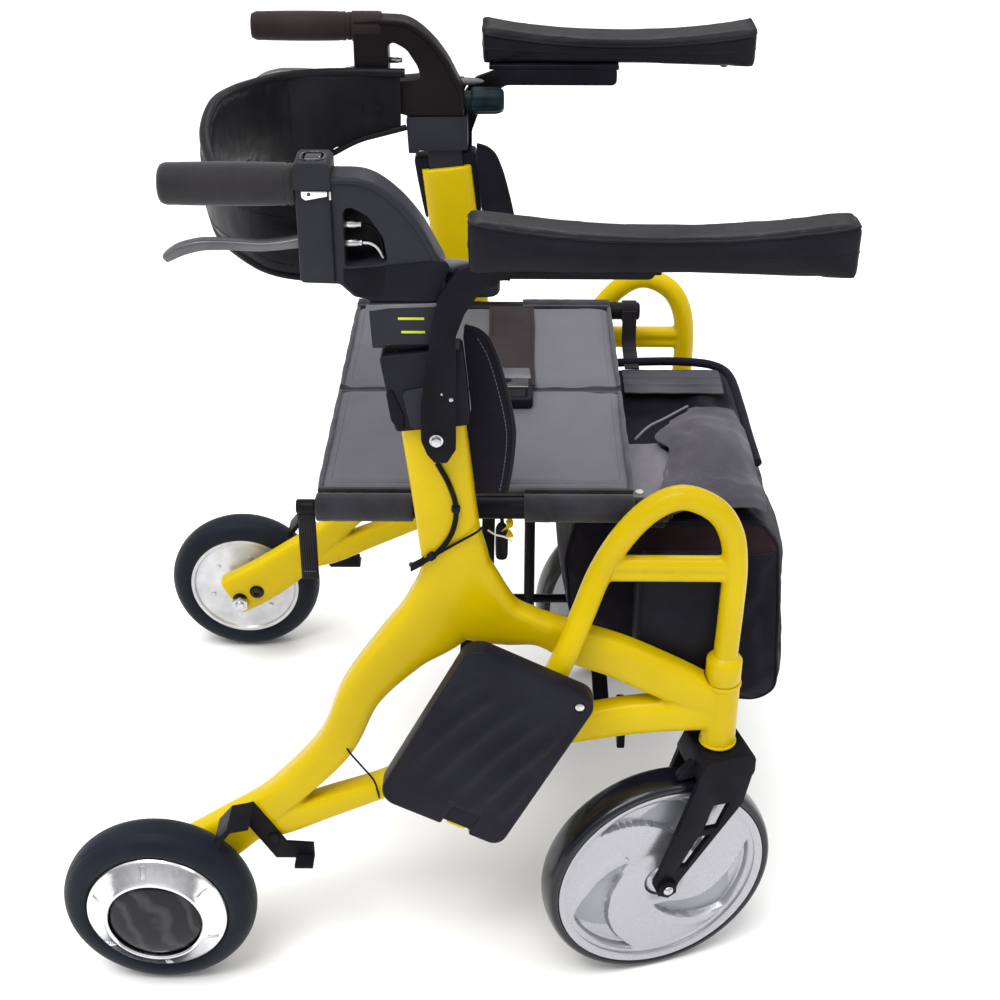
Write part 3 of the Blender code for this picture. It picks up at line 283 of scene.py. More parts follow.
def paints_and_plastics():
    yellow = Surface("yellow_gloss_paint", (0.64, 0.45, 0.002), 0.3, Coat_Weight=0.07, Coat_Roughness=0.12,
                     Specular_IOR_Level=0.13)
    yellow.clouds(7, 4, (0.555, 0.395, 0.0), (0.64, 0.468, 0.0))
    yellow.shine(30, 5, 0.24, 0.38, rough=0.6)
    yellow.bump(yellow.noise(260, 2), 0.00012, 0.5)
    yellow.bump(yellow.noise(60, 2), 0.0005, 0.15)

    satin = Surface("black_satin_paint", (0.006, 0.006, 0.008), 0.42)
    satin.clouds(18, 5, (0.004, 0.004, 0.006), (0.011, 0.010, 0.014), high=0.75)
    satin.shine(45, 6, 0.33, 0.52, rough=0.6)
    satin.bump(satin.noise(700, 3), 0.00012, 0.5)

    moulded = Surface("moulded_black_plastic", (0.009, 0.009, 0.013), 0.5)
    moulded.clouds(12, 4, (0.006, 0.006, 0.010), (0.014, 0.014, 0.020))
    moulded.shine(25, 6, 0.4, 0.58, rough=0.6)
    moulded.bump(moulded.cells(900), 0.0001, 0.45)

    housing = Surface("grey_black_housing", (0.032, 0.032, 0.04), 0.45)
    housing.clouds(9, 4, (0.019, 0.019, 0.026), (0.033, 0.033, 0.043))
    housing.shine(30, 6, 0.36, 0.54, rough=0.6)
    housing.bump(housing.cells(800), 0.0001, 0.5)

    grip = Surface("grip_rubber", (0.018, 0.017, 0.019), 0.62, Sheen_Weight=0.25, Sheen_Roughness=0.5)
    grip.clouds(16, 5, (0.012, 0.0115, 0.0135), (0.025, 0.023, 0.026))
    grip.shine(60, 5, 0.52, 0.72)
    grip.bump(grip.cells(1100), 0.00022, 0.6)
    grip.bump(grip.wave(45, "X", 0.4), 0.0001, 0.35)

    brown = Surface("brown_grip_rubber", (0.02, 0.015, 0.015), 0.55, Sheen_Weight=0.08, Sheen_Roughness=0.5)
    brown.clouds(16, 5, (0.014, 0.010, 0.0105), (0.030, 0.021, 0.022))
    brown.shine(60, 5, 0.48, 0.68)
    brown.bump(brown.cells(1100), 0.00022, 0.6)

    hide = Surface("black_leatherette", (0.012, 0.012, 0.015), 0.4, Coat_Weight=0.05, Coat_Roughness=0.35)
    grain = hide.cells(620, "SMOOTH_F1")
    hide.clouds(10, 5, (0.005, 0.005, 0.007), (0.014, 0.013, 0.017), high=0.72)
    hide.shine(28, 6, 0.34, 0.52, rough=0.6)
    hide.bump(grain, 0.00035, 0.55)
    hide.bump(hide.noise(40, 3), 0.0009, 0.25)


def cloths():
    seat = Surface("slate_seat_cloth", (0.105, 0.105, 0.122), 0.5, Sheen_Weight=0.15, Sheen_Roughness=0.4)
    seat.clouds(5, 5, (0.083, 0.083, 0.100), (0.130, 0.130, 0.148), rough=0.55, low=0.28, high=0.72)
    seat.shine(14, 6, 0.42, 0.6, rough=0.6)
    weave(seat, 0.0011, 0.00018)
    seat.bump(seat.noise(22, 4), 0.0012, 0.2)

    # Dark cloth: on the loops round the seat rails it paints the shade on the seat's rolled edge; the strip
    # in the seat's centre fold is of it too
    seat_edge = Surface("dark_seat_binding", (0.02, 0.02, 0.026), 0.55, Sheen_Weight=0.2)
    seat_edge.clouds(30, 5, (0.014, 0.014, 0.018), (0.034, 0.033, 0.04))
    weave(seat_edge, 0.0012, 0.0003)
    seat_edge.bump(seat_edge.noise(160, 3), 0.0004, 0.3)

    nylon = Surface("black_nylon", (0.016, 0.015, 0.02), 0.62, Sheen_Weight=0.04, Sheen_Roughness=0.35)
    nylon.clouds(6, 6, (0.006, 0.0055, 0.010), (0.015, 0.013, 0.022), rough=0.6, high=0.72)
    nylon.shine(35, 5, 0.5, 0.72)
    weave(nylon, 0.0012, 0.0003)
    nylon.bump(nylon.noise(55, 4), 0.0012, 0.25)

    flap = Surface("grey_crumpled_nylon", (0.075, 0.07, 0.085), 0.5, Sheen_Weight=0.3, Sheen_Roughness=0.35)
    flap.clouds(9, 6, (0.045, 0.043, 0.056), (0.105, 0.098, 0.115), rough=0.6)
    flap.shine(25, 5, 0.42, 0.62)
    weave(flap, 0.0012, 0.00022)
    flap.bump(flap.noise(38, 5, 0.55), 0.0025, 0.3)

    shade = Surface("brown_black_housing", (0.010, 0.008, 0.0085), 0.45)
    shade.clouds(14, 5, (0.008, 0.0065, 0.007), (0.013, 0.010, 0.0105))
    shade.shine(90, 4, 0.38, 0.52)
    shade.bump(shade.noise(900, 3), 0.00006)

    # Pale nylon of the flap's flat corner, also used for the painted highlight along a fold's crest
    pale = Surface("pale_flap_nylon", (0.16, 0.155, 0.175), 0.5, Sheen_Weight=0.3, Sheen_Roughness=0.35)
    pale.clouds(10, 5, (0.13, 0.125, 0.145), (0.19, 0.185, 0.205), rough=0.6)
    weave(pale, 0.0012, 0.0002)

    maroon = Surface("maroon_black_nylon", (0.018, 0.009, 0.011), 0.55, Sheen_Weight=0.12,
                     Sheen_Roughness=0.35)
    maroon.clouds(7, 5, (0.010, 0.005, 0.007), (0.028, 0.014, 0.016), rough=0.6, high=0.72)
    weave(maroon, 0.0012, 0.0003)

    webbing = Surface("ribbed_webbing", (0.009, 0.008, 0.010), 0.7, Sheen_Weight=0.12)
    webbing.clouds(22, 5, (0.005, 0.004, 0.006), (0.016, 0.013, 0.016))
    webbing.shine(50, 4, 0.6, 0.8)
    weave(webbing, 0.0016, 0.0006, (0, 0, math.radians(45)))

    belt = Surface("brown_black_webbing", (0.026, 0.018, 0.020), 0.6, Sheen_Weight=0.08, Sheen_Roughness=0.4)
    belt.clouds(14, 5, (0.020, 0.013, 0.016), (0.036, 0.025, 0.028))
    belt.shine(50, 4, 0.5, 0.7)
    weave(belt, 0.0016, 0.0006, (0, 0, math.radians(45)))


def wheels_and_metals():
    tyre = Surface("rear_tyre_rubber", (0.010, 0.012, 0.020), 0.5, Sheen_Weight=0.06, Sheen_Roughness=0.5)
    tyre.clouds(8, 6, (0.006, 0.008, 0.014), (0.015, 0.018, 0.028), rough=0.6, high=0.72)
    tyre.shine(30, 6, 0.42, 0.62, rough=0.6)
    tyre.bump(tyre.noise(420, 3), 0.0002, 0.35)

    glossy_tyre = Surface("caster_tyre", (0.006, 0.006, 0.009), 0.22, Coat_Weight=0.15, Coat_Roughness=0.1,
                          Specular_IOR_Level=0.3)
    glossy_tyre.clouds(10, 5, (0.003, 0.004, 0.007), (0.008, 0.009, 0.014))
    glossy_tyre.shine(22, 5, 0.16, 0.32)
    glossy_tyre.bump(glossy_tyre.noise(300, 2), 0.0001, 0.3)

    silver = Surface("silver_wheel_paint", (0.60, 0.60, 0.63), 0.3, 0.75, Coat_Weight=0.3,
                     Coat_Roughness=0.15)
    silver.clouds(1400, 2, (0.36, 0.36, 0.385), (0.48, 0.48, 0.505), low=0.35, high=0.65)
    silver.shine(20, 4, 0.24, 0.36)
    silver.bump(silver.noise(900, 2), 0.00005, 0.3)

    # Darker grey for the deep floors of the caster disc's recesses: painted shade
    recess = Surface("wheel_recess_painted_shade", (0.30, 0.31, 0.32), 0.38, 0.6)
    recess.clouds(14, 4, (0.27, 0.28, 0.30), (0.36, 0.37, 0.40))
    recess.shine(30, 5, 0.3, 0.46)

    polished = Surface("polished_aluminium", (0.80, 0.80, 0.83), 0.14, 1.0)
    polished.clouds(90, 4, (0.70, 0.70, 0.74), (0.86, 0.86, 0.88), rough=0.6)
    polished.shine(40, 6, 0.1, 0.22, rough=0.7)
    polished.bump(polished.noise(500, 2), 0.00004, 0.3)

    smoky = Surface("smoky_hub_cap", (0.01, 0.01, 0.013), 0.2, Coat_Weight=0.12, Coat_Roughness=0.06,
                    Specular_IOR_Level=0.2)
    smoke = smoky.wave(9, "X", 9.0, (0, math.radians(28), 0), 3.0)
    smoky.tint(smoky.span(smoke, 0.62, 1.0), (0.006, 0.006, 0.009), (0.036, 0.036, 0.043))
    smoky.shine(25, 5, 0.14, 0.28)

    bolt = Surface("zinc_bolt", (0.55, 0.55, 0.57), 0.3, 1.0)
    bolt.clouds(120, 4, (0.42, 0.42, 0.44), (0.62, 0.62, 0.64))
    bolt.shine(200, 4, 0.22, 0.42)

    dark_bolt = Surface("blackened_bolt", (0.02, 0.017, 0.014), 0.35, 0.8)
    dark_bolt.clouds(150, 4, (0.013, 0.011, 0.009), (0.04, 0.033, 0.025))


def small_surfaces():
    lever = Surface("grey_lever_paint", (0.115, 0.115, 0.125), 0.36, 0.35, Coat_Weight=0.25,
                    Coat_Roughness=0.2)
    lever.clouds(18, 5, (0.09, 0.09, 0.10), (0.14, 0.14, 0.155))
    lever.shine(60, 5, 0.3, 0.45)
    lever.bump(lever.noise(800, 2), 0.00006, 0.3)

    label_grey = Surface("grey_switch_face", (0.33, 0.33, 0.35), 0.35, Coat_Weight=0.3, Coat_Roughness=0.15)
    label_grey.clouds(60, 4, (0.26, 0.26, 0.28), (0.42, 0.42, 0.45))

    lime = Surface("yellow_green_marker", (0.52, 0.60, 0.02), 0.4)
    lime.clouds(90, 4, (0.46, 0.53, 0.012), (0.60, 0.68, 0.03))

    teal = Surface("dark_teal_knob", (0.006, 0.014, 0.018), 0.34)
    teal.clouds(60, 4, (0.004, 0.010, 0.013), (0.010, 0.020, 0.025))
    teal.bump(teal.cells(900), 0.0001, 0.4)

    pale_tie = Surface("white_nylon_tie", (0.75, 0.75, 0.73), 0.4)
    pale_tie.clouds(120, 4, (0.66, 0.66, 0.64), (0.82, 0.82, 0.80))

    sheath = Surface("cable_sheath", (0.008, 0.008, 0.010), 0.36)
    sheath.clouds(60, 4, (0.003, 0.003, 0.004), (0.009, 0.008, 0.009))
    sheath.bump(sheath.noise(600, 2), 0.00008, 0.4)

    slate_thread = Surface("slate_thread", (0.045, 0.045, 0.055), 0.7)
    slate_thread.clouds(900, 2, (0.03, 0.03, 0.038), (0.065, 0.065, 0.08))

    edge = Surface("seat_edge_cloth", (0.07, 0.072, 0.085), 0.5, Sheen_Weight=0.15, Sheen_Roughness=0.4)
    edge.clouds(24, 5, (0.05, 0.051, 0.062), (0.09, 0.092, 0.108))
    weave(edge, 0.0011, 0.0002)

    switch = Surface("gloss_switch_plastic", (0.006, 0.006, 0.008), 0.16, Coat_Weight=0.3,
                     Coat_Roughness=0.06, Specular_IOR_Level=0.35)
    switch.clouds(60, 4, (0.004, 0.004, 0.006), (0.011, 0.011, 0.014))

    thread = Surface("grey_thread", (0.10, 0.10, 0.115), 0.7)
    thread.clouds(900, 2, (0.07, 0.07, 0.08), (0.14, 0.14, 0.155))

    ribbed = Surface("ribbed_plate_plastic", (0.008, 0.008, 0.012), 0.38, Coat_Weight=0.05,
                     Coat_Roughness=0.3)
    ribbed.clouds(14, 5, (0.005, 0.005, 0.009), (0.012, 0.012, 0.019))
    ribbed.shine(35, 6, 0.3, 0.46, rough=0.6)
    ribbed.bump(ribbed.cells(1000), 0.00008, 0.45)

    tip = Surface("pale_cover_tip", (0.13, 0.13, 0.145), 0.4)
    tip.clouds(40, 4, (0.10, 0.10, 0.115), (0.17, 0.17, 0.185))
    tip.shine(50, 5, 0.34, 0.48)
    tip.bump(tip.cells(900), 0.00006, 0.4)

    motor = Surface("pale_motor_back", (0.62, 0.62, 0.64), 0.35, 0.6)
    motor.clouds(40, 5, (0.52, 0.52, 0.54), (0.70, 0.70, 0.72))
    motor.shine(60, 4, 0.28, 0.45)


paints_and_plastics()
cloths()
wheels_and_metals()
small_surfaces()


def piece(name, bm, surface, body, replaced=(), angle=40):
    """Turn a bmesh, drawn from the seat's station line, into a shown piece of a CAD body."""
    bmesh.ops.recalc_face_normals(bm, faces=bm.faces)
    bmesh.ops.translate(bm, vec=(STATION_X, 0, 0), verts=bm.verts)
    mesh = bpy.data.meshes.new(name)
    bm.to_mesh(mesh)
    bm.free()
    mesh.shade_smooth()
    mesh.set_sharp_from_angle(angle=math.radians(angle))
    for one in [surface] if isinstance(surface, str) else surface:
        mesh.materials.append(SURFACES[one])
    obj = bpy.data.objects.new(name, mesh)
    bpy.context.scene.collection.objects.link(obj)
    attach(obj, body)
    if replaced:
        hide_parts(*([replaced] if isinstance(replaced, str) else replaced))
    return obj


def evaluated(bm, add_modifiers):
    """The bmesh with modifiers applied by add_modifiers(object)."""
    mesh = bpy.data.meshes.new("work")
    bm.to_mesh(mesh)
    bm.free()
    obj = bpy.data.objects.new("work", mesh)
    bpy.context.scene.collection.objects.link(obj)
    add_modifiers(obj)
    graph = bpy.context.evaluated_depsgraph_get()
    made = bpy.data.meshes.new_from_object(obj.evaluated_get(graph))
    out = bmesh.new()
    out.from_mesh(made)
    bpy.data.objects.remove(obj, do_unlink=True)
    bpy.data.meshes.remove(made)
    bpy.data.meshes.remove(mesh)
    return out


def joined(parts):
    """Several bmeshes in one, still separate shells."""
    whole = bmesh.new()
    for part in parts:
        mesh = bpy.data.meshes.new("part")
        part.to_mesh(mesh)
        part.free()
        whole.from_mesh(mesh)
        bpy.data.meshes.remove(mesh)
    return whole


def fused(parts, voxel, smooth):
    """Shells melted into one skin, with the soft fillets of welds and castings at their joins."""

    def modifiers(obj):
        melt = obj.modifiers.new("melt", "REMESH")
        melt.mode = "VOXEL"
        melt.voxel_size = voxel
        ease = obj.modifiers.new("ease", "SMOOTH")
        ease.factor = 0.5
        ease.iterations = smooth

    return evaluated(joined(parts), modifiers)


def cut(bm, tools):
    """Take closed tools out of a bmesh, one after the other."""
    for tool in tools:
        mesh = bpy.data.meshes.new("tool")
        bmesh.ops.recalc_face_normals(tool, faces=tool.faces)
        tool.to_mesh(mesh)
        tool.free()
        cutter = bpy.data.objects.new("tool", mesh)
        bpy.context.scene.collection.objects.link(cutter)

        def modifiers(obj):
            mod = obj.modifiers.new("cut", "BOOLEAN")
            mod.operation = "DIFFERENCE"
            mod.object = cutter
            mod.solver = "EXACT"

        bm = evaluated(bm, modifiers)
        bpy.data.objects.remove(cutter, do_unlink=True)
        bpy.data.meshes.remove(mesh)
    return bm


def softened(bm, width, segments=3, angle=32):
    """Round every edge sharper than the angle."""

    def modifiers(obj):
        mod = obj.modifiers.new("soften", "BEVEL")
        mod.width = width
        mod.segments = segments
        mod.limit_method = "ANGLE"
        mod.angle_limit = math.radians(angle)
        mod.use_clamp_overlap = True

    bmesh.ops.recalc_face_normals(bm, faces=bm.faces)
    return evaluated(bm, modifiers)


def bridge(bm, low, high):
    """Faces between two rings of as many points."""
    for i in range(len(low)):
        j = (i + 1) % len(low)
        bm.faces.new((low[i], low[j], high[j], high[i]))


def mesh_rows(bm, rows):
    """Faces between the neighbouring rows of a grid."""
    for low, high in zip(rows, rows[1:]):
        for k in range(len(low) - 1):
            bm.faces.new((low[k], low[k + 1], high[k + 1], high[k]))


def border(rows):
    """The outermost points of a grid, in order round it."""
    return ([row[0] for row in rows] + rows[-1][1:] + [row[-1] for row in reversed(rows[:-1])]
            + list(reversed(rows[0][1:-1])))


def circle(centre, side, other, radius, sides):
    """Points round centre in the plane of two directions."""
    turns = [2 * math.pi * k / sides for k in range(sides)]
    return [centre + side * radius * math.cos(t) + other * radius * math.sin(t) for t in turns]


def skin(loops, closed=False, caps=True):
    """A mesh over a row of rings, capped at both ends or closed into a ring itself."""
    bm = bmesh.new()
    rows = [[bm.verts.new(p) for p in loop] for loop in loops]
    pairs = list(zip(rows, rows[1:]))
    if closed:
        pairs.append((rows[-1], rows[0]))
    for low, high in pairs:
        bridge(bm, low, high)
    if not closed and caps:
        bm.faces.new(rows[0])
        bm.faces.new(list(reversed(rows[-1])))
    bmesh.ops.recalc_face_normals(bm, faces=bm.faces)
    return bm


def block(low, high):
    """A box between two opposite corners."""
    bm = bmesh.new()
    bmesh.ops.create_cube(bm, size=1)
    for vert in bm.verts:
        vert.co = Vector([(a + b) / 2 + v * abs(b - a) for v, a, b in zip(vert.co, low, high)])
    return bm


def bar(a, b, radius, sides):
    """A round bar from a to b."""
    a, b = Vector(a), Vector(b)
    bm = bmesh.new()
    bmesh.ops.create_cone(bm, cap_ends=True, segments=sides, radius1=radius, radius2=radius,
                          depth=(b - a).length)
    turn = Vector((0, 0, 1)).rotation_difference((b - a).normalized()).to_matrix().to_4x4()
    bmesh.ops.transform(bm, matrix=Matrix.Translation((a + b) / 2) @ turn, verts=bm.verts)
    return bm


def turned(profile, centre, axis=(0, 1, 0), sides=96):
    """Spin a closed line of (offset along the axis, radius) points about the axis through centre."""
    centre, axis = Vector(centre), Vector(axis).normalized()
    u = axis.orthogonal().normalized()
    v = axis.cross(u)
    loops = []
    for k in range(sides):
        t = 2 * math.pi * k / sides
        out = u * math.cos(t) + v * math.sin(t)
        loops.append([centre + axis * a + out * r for a, r in profile])
    return skin(loops, closed=True)


def slab(outline, y0, y1):
    """Extrude an outline of (x, z) points from y0 to y1."""
    return skin([[(x, y, z) for x, z in outline] for y in (y0, y1)])


def arc_outline(points, steps):
    """A smooth closed outline through corner points: each third value is the corner's radius."""
    out = []
    count = len(points)
    for i, (x, z, radius) in enumerate(points):
        here = Vector((x, z))
        if radius <= 0:
            out.append((x, z))
            continue
        before = (Vector(points[i - 1][:2]) - here).normalized()
        after = (Vector(points[(i + 1) % count][:2]) - here).normalized()
        half = before.angle(after) / 2
        reach = radius / math.tan(half)
        middle = here + (before + after).normalized() * radius / math.sin(half)
        start = here + before * reach - middle
        end = here + after * reach - middle
        turn = start.angle_signed(end)
        for k in range(steps + 1):
            spot = middle + Matrix.Rotation(-turn * k / steps, 2) @ start
            out.append((spot.x, spot.y))
    return out


def moulding(corners, steps, y0, y1):
    """Extrude an outline of (x, z, corner radius) points from y0 to y1."""
    return slab(arc_outline(corners, steps), y0, y1)


def curve_points(points, spacing):
    """Points at an even spacing on a smooth curve through the given points."""
    pts = [Vector(p) for p in points]
    pts = [2 * pts[0] - pts[1]] + pts + [2 * pts[-1] - pts[-2]]
    fine = []
    for a, b, c, d in zip(pts, pts[1:], pts[2:], pts[3:]):
        for k in range(16):
            t = k / 16
            fine.append(0.5 * (2 * b + (c - a) * t + (2 * a - 5 * b + 4 * c - d) * t * t
                               + (3 * b - a - 3 * c + d) * t ** 3))
    fine.append(pts[-2])
    total = sum((q - p).length for p, q in zip(fine, fine[1:]))
    steps = max(2, round(total / spacing))
    out, walked, target = [fine[0]], 0.0, total / steps
    for p, q in zip(fine, fine[1:]):
        length = (q - p).length
        while length and walked + length >= target - 1e-9 and len(out) < steps:
            out.append(p.lerp(q, (target - walked) / length))
            target += total / steps
        walked += length
    out.append(fine[-1])
    return out


def tube(points, radius, spacing=0.006, sides=24, widen=None):
    """A round tube on a smooth curve. widen(share of the length) scales its radius."""
    path = curve_points(points, spacing)
    loops = []
    side = None
    for i, here in enumerate(path):
        ahead = (path[min(i + 1, len(path) - 1)] - path[max(i - 1, 0)]).normalized()
        if side is None:
            side = ahead.orthogonal()
        side = (side - ahead * side.dot(ahead)).normalized()
        other = ahead.cross(side)
        r = radius * (widen(i / (len(path) - 1)) if widen else 1)
        loops.append(circle(here, side, other, r, sides))
    return skin(loops)


def flat_sweep(stations, y, thick, power=0.5, spacing=0.008, sides=40):
    """Sweep a rounded-box section along stations of (x, z, half height) in the plane of constant y."""
    path = curve_points(stations, spacing)
    loops = []
    for i, here in enumerate(path):
        a, b = path[max(i - 1, 0)], path[min(i + 1, len(path) - 1)]
        ahead = Vector((b.x - a.x, b.y - a.y)).normalized()
        normal = Vector((-ahead.y, ahead.x))
        loop = []
        for k in range(sides):
            t = 2 * math.pi * (k + 0.5) / sides
            c, s = math.cos(t), math.sin(t)
            spot = Vector((here.x, here.y)) + normal * here.z * math.copysign(abs(s) ** power, s)
            loop.append((spot.x, y + thick / 2 * math.copysign(abs(c) ** power, c), spot.y))
        loops.append(loop)
    return skin(loops)


def slab_flat(corners, z0, z1):
    """Extrude an outline of (x, y, corner radius) points from z0 to z1."""
    outline = arc_outline(corners, 5)
    return skin([[(x, y, z) for x, y in outline] for z in (z0, z1)])


def ring_tube(points, radius, sides=10):
    """A closed bead round a loop of points."""
    count = len(points)
    eased = [(points[i - 1] + points[i] * 2 + points[(i + 1) % count]) / 4 for i in range(count)]
    loops = []
    side = None
    for i, here in enumerate(eased):
        ahead = (eased[(i + 1) % count] - eased[i - 1]).normalized()
        side = ahead.orthogonal() if side is None else (side - ahead * side.dot(ahead)).normalized()
        other = ahead.cross(side)
        loops.append(circle(here, side, other, radius, sides))
    first, last = loops[0], loops[-1]
    shift = min(range(sides), key=lambda k: sum((first[(i + k) % sides] - last[i]).length
                                                for i in range(sides)))
    loops.append([first[(i + shift) % sides] for i in range(sides)])
    bm = skin(loops, caps=False)
    bmesh.ops.remove_doubles(bm, verts=bm.verts, dist=1e-6)
    return bm


def strip(path, across, width, thick, spacing, sag=None):
    """Flat webbing along a path, its width along the across direction, with soft edges."""
    line = curve_points(path, spacing)
    across = Vector(across).normalized()
    loops = []
    for i, here in enumerate(line):
        ahead = (line[min(i + 1, len(line) - 1)] - line[max(i - 1, 0)]).normalized()
        side = (across - ahead * across.dot(ahead)).normalized()
        up = side.cross(ahead)
        share = i / (len(line) - 1)
        loop = []
        for a, b in ((-1, -0.35), (-0.96, -1), (-0.5, -1), (0, -1), (0.5, -1), (0.96, -1), (1, -0.35),
                     (1, 0.35), (0.96, 1), (0.5, 1), (0, 1), (-0.5, 1), (-0.96, 1), (-1, 0.35)):
            spot = here + side * a * width / 2 + up * b * thick / 2
            if sag:
                spot = spot + up * sag(share, a)
            loop.append(spot)
        loops.append(loop)
    return skin(loops)


def sheet_from(grid, thick):
    """A thin closed cloth from a grid of points on its middle face."""
    rows, columns = len(grid), len(grid[0])
    bm = bmesh.new()
    rims = []
    for side in (-0.5, 0.5):
        made = []
        for i, row in enumerate(grid):
            line = []
            for k, here in enumerate(row):
                down = grid[min(i + 1, rows - 1)][k] - grid[max(i - 1, 0)][k]
                over = row[min(k + 1, columns - 1)] - row[max(k - 1, 0)]
                line.append(bm.verts.new(here + down.cross(over).normalized() * thick * side))
            made.append(line)
        mesh_rows(bm, made)
        rims.append(border(made))
    bridge(bm, *rims)
    return bm


def even(loop, spacing):
    """Points at an even spacing round a closed loop of corner points."""
    pts = [Vector(p) for p in loop]
    pairs = list(zip(pts, pts[1:] + pts[:1]))
    total = sum((b - a).length for a, b in pairs)
    count = max(3, round(total / spacing))
    out, walked, k = [], 0.0, 0
    for a, b in pairs:
        length = (b - a).length
        while k < count and length and walked + length >= total * k / count - 1e-12:
            out.append(a.lerp(b, (total * k / count - walked) / length))
            k += 1
        walked += length
    return out


def bump_at(here, at, width):
    """A soft round swelling of height 1 round a point."""
    return math.exp(-sum(((a - b) / w) ** 2 for a, b, w in zip(here, at, width)))


def ramp(value, low, high):
    """0 below low and 1 above high, eased between."""
    part = min(1.0, max(0.0, (value - low) / (high - low)))
    return part * part * (3 - 2 * part)


def upright_point(z, forward=0.0):
    """(x, z) of a place on the leaning upright, forward of its middle line."""
    x = UPRIGHT_FOOT[0] - (z - UPRIGHT_FOOT[1]) * math.tan(UPRIGHT_LEAN)
    return x + forward * math.cos(UPRIGHT_LEAN), z + forward * math.sin(UPRIGHT_LEAN)


def upright_quad(z0, z1, half):
    """Outline of a piece of the upright between two heights."""
    return [upright_point(z0, -half), upright_point(z0, half), upright_point(z1, half),
            upright_point(z1, -half)]


def refined(node, surface, width, segments=3, angle=30):
    """A finer copy of a CAD node: its facets merged and its sharp edges rounded."""
    source = frame["nodes"][node]
    bm = bmesh.new()
    bm.from_mesh(source.data)
    bmesh.ops.remove_doubles(bm, verts=bm.verts, dist=1e-5)
    bmesh.ops.dissolve_limit(bm, angle_limit=math.radians(1.5), verts=bm.verts, edges=bm.edges)
    bm = softened(bm, width, segments, angle)
    bmesh.ops.translate(bm, vec=(-STATION_X, 0, 0), verts=bm.verts)
    return piece("fine_" + node, bm, surface, source["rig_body"], node, angle=38)


def shown(name, data):
    """An object of the scene that is no piece of the part."""
    obj = bpy.data.objects.new(name, data)
    bpy.context.scene.collection.objects.link(obj)
    return obj


def camera():
    """The photo's camera."""
    eye = bpy.data.cameras.new("camera")
    eye.lens = LENS_MM
    eye.sensor_width = SENSOR_MM
    cam = shown("camera", eye)
    cam.location = CAMERA_AT
    cam.rotation_euler = [math.radians(turn) for turn in CAMERA_TURN]
    bpy.context.scene.camera = cam


def sky():
    """White surroundings that are darker near the floor, so that the sides show their form."""
    world = bpy.data.worlds.new("studio")
    world.use_nodes = True
    nodes, links = world.node_tree.nodes, world.node_tree.links
    place = nodes.new("ShaderNodeTexCoord")
    split = nodes.new("ShaderNodeSeparateXYZ")
    links.new(place.outputs["Generated"], split.inputs["Vector"])
    grade = nodes.new("ShaderNodeMapRange")
    for key, value in (("From Min", -0.05), ("From Max", 0.85), ("To Min", 0.26), ("To Max", 1.05)):
        grade.inputs[key].default_value = value
    links.new(split.outputs["Z"], grade.inputs["Value"])
    nodes["Background"].inputs["Color"].default_value = (1, 1, 1, 1)
    links.new(grade.outputs["Result"], nodes["Background"].inputs["Strength"])
    bpy.context.scene.world = world


def lights():
    """A soft sun from the near left and four lamps aimed at the middle of the part."""
    sun = bpy.data.lights.new("soft_sun", "SUN")
    sun.energy = 1.9
    sun.angle = math.radians(35)
    shown("soft_sun", sun).rotation_euler = Vector((0.18, 0.30, -1.0)).to_track_quat("-Z", "Y").to_euler()
    middle = Vector((0, 0, 0.4))
    for name, spot, size, power in (("key_light", (-0.9, -1.3, 2.4), 0.5, 8),
                                    ("fill_light", (1.7, -0.9, 2.2), 0.8, 4),
                                    ("back_light", (0.3, 1.6, 2.2), 0.9, 10),
                                    ("low_light", (-1.8, 0.6, 1.4), 0.8, 3)):
        lamp = bpy.data.lights.new(name, "AREA")
        lamp.size = size
        lamp.energy = power
        obj = shown(name, lamp)
        obj.location = spot
        obj.rotation_euler = (middle - Vector(spot)).to_track_quat("-Z", "Y").to_euler()


def studio_floor():
    """Pale floor that reaches to the horizon."""
    paint = Surface("pale_floor", (0.97, 0.97, 0.97), 0.6)
    paint.clouds(1.5, 3, (0.965, 0.965, 0.965), (0.985, 0.985, 0.985))
    bm = bmesh.new()
    bmesh.ops.create_grid(bm, x_segments=8, y_segments=8, size=FLOOR_REACH)
    mesh = bpy.data.meshes.new("floor")
    bm.to_mesh(mesh)
    bm.free()
    mesh.materials.append(paint.mat)
    shown("floor", mesh)


camera()
sky()
lights()
studio_floor()
bpy.context.scene.view_settings.view_transform = "Standard"


def hex_bolt(name, spot, axis, across, height, body, surface="zinc_bolt", socket=False):
    """A bolt head on its washer, its middle on spot and pointing along axis."""
    spot, axis = Vector(spot), Vector(axis).normalized()
    washer = bar(spot, spot + axis * height * 0.25, across * 0.72, 28)
    head = bar(spot + axis * height * 0.2, spot + axis * height, across * 0.577, 20 if socket else 6)
    parts = [softened(washer, height * 0.06, 2), softened(head, height * 0.15, 2)]
    if socket:
        well = bar(spot + axis * height * 0.55, spot + axis * height * 1.2, across * 0.3, 6)
        parts[1] = cut(parts[1], [well])
    return piece(name, joined(parts), surface, body)


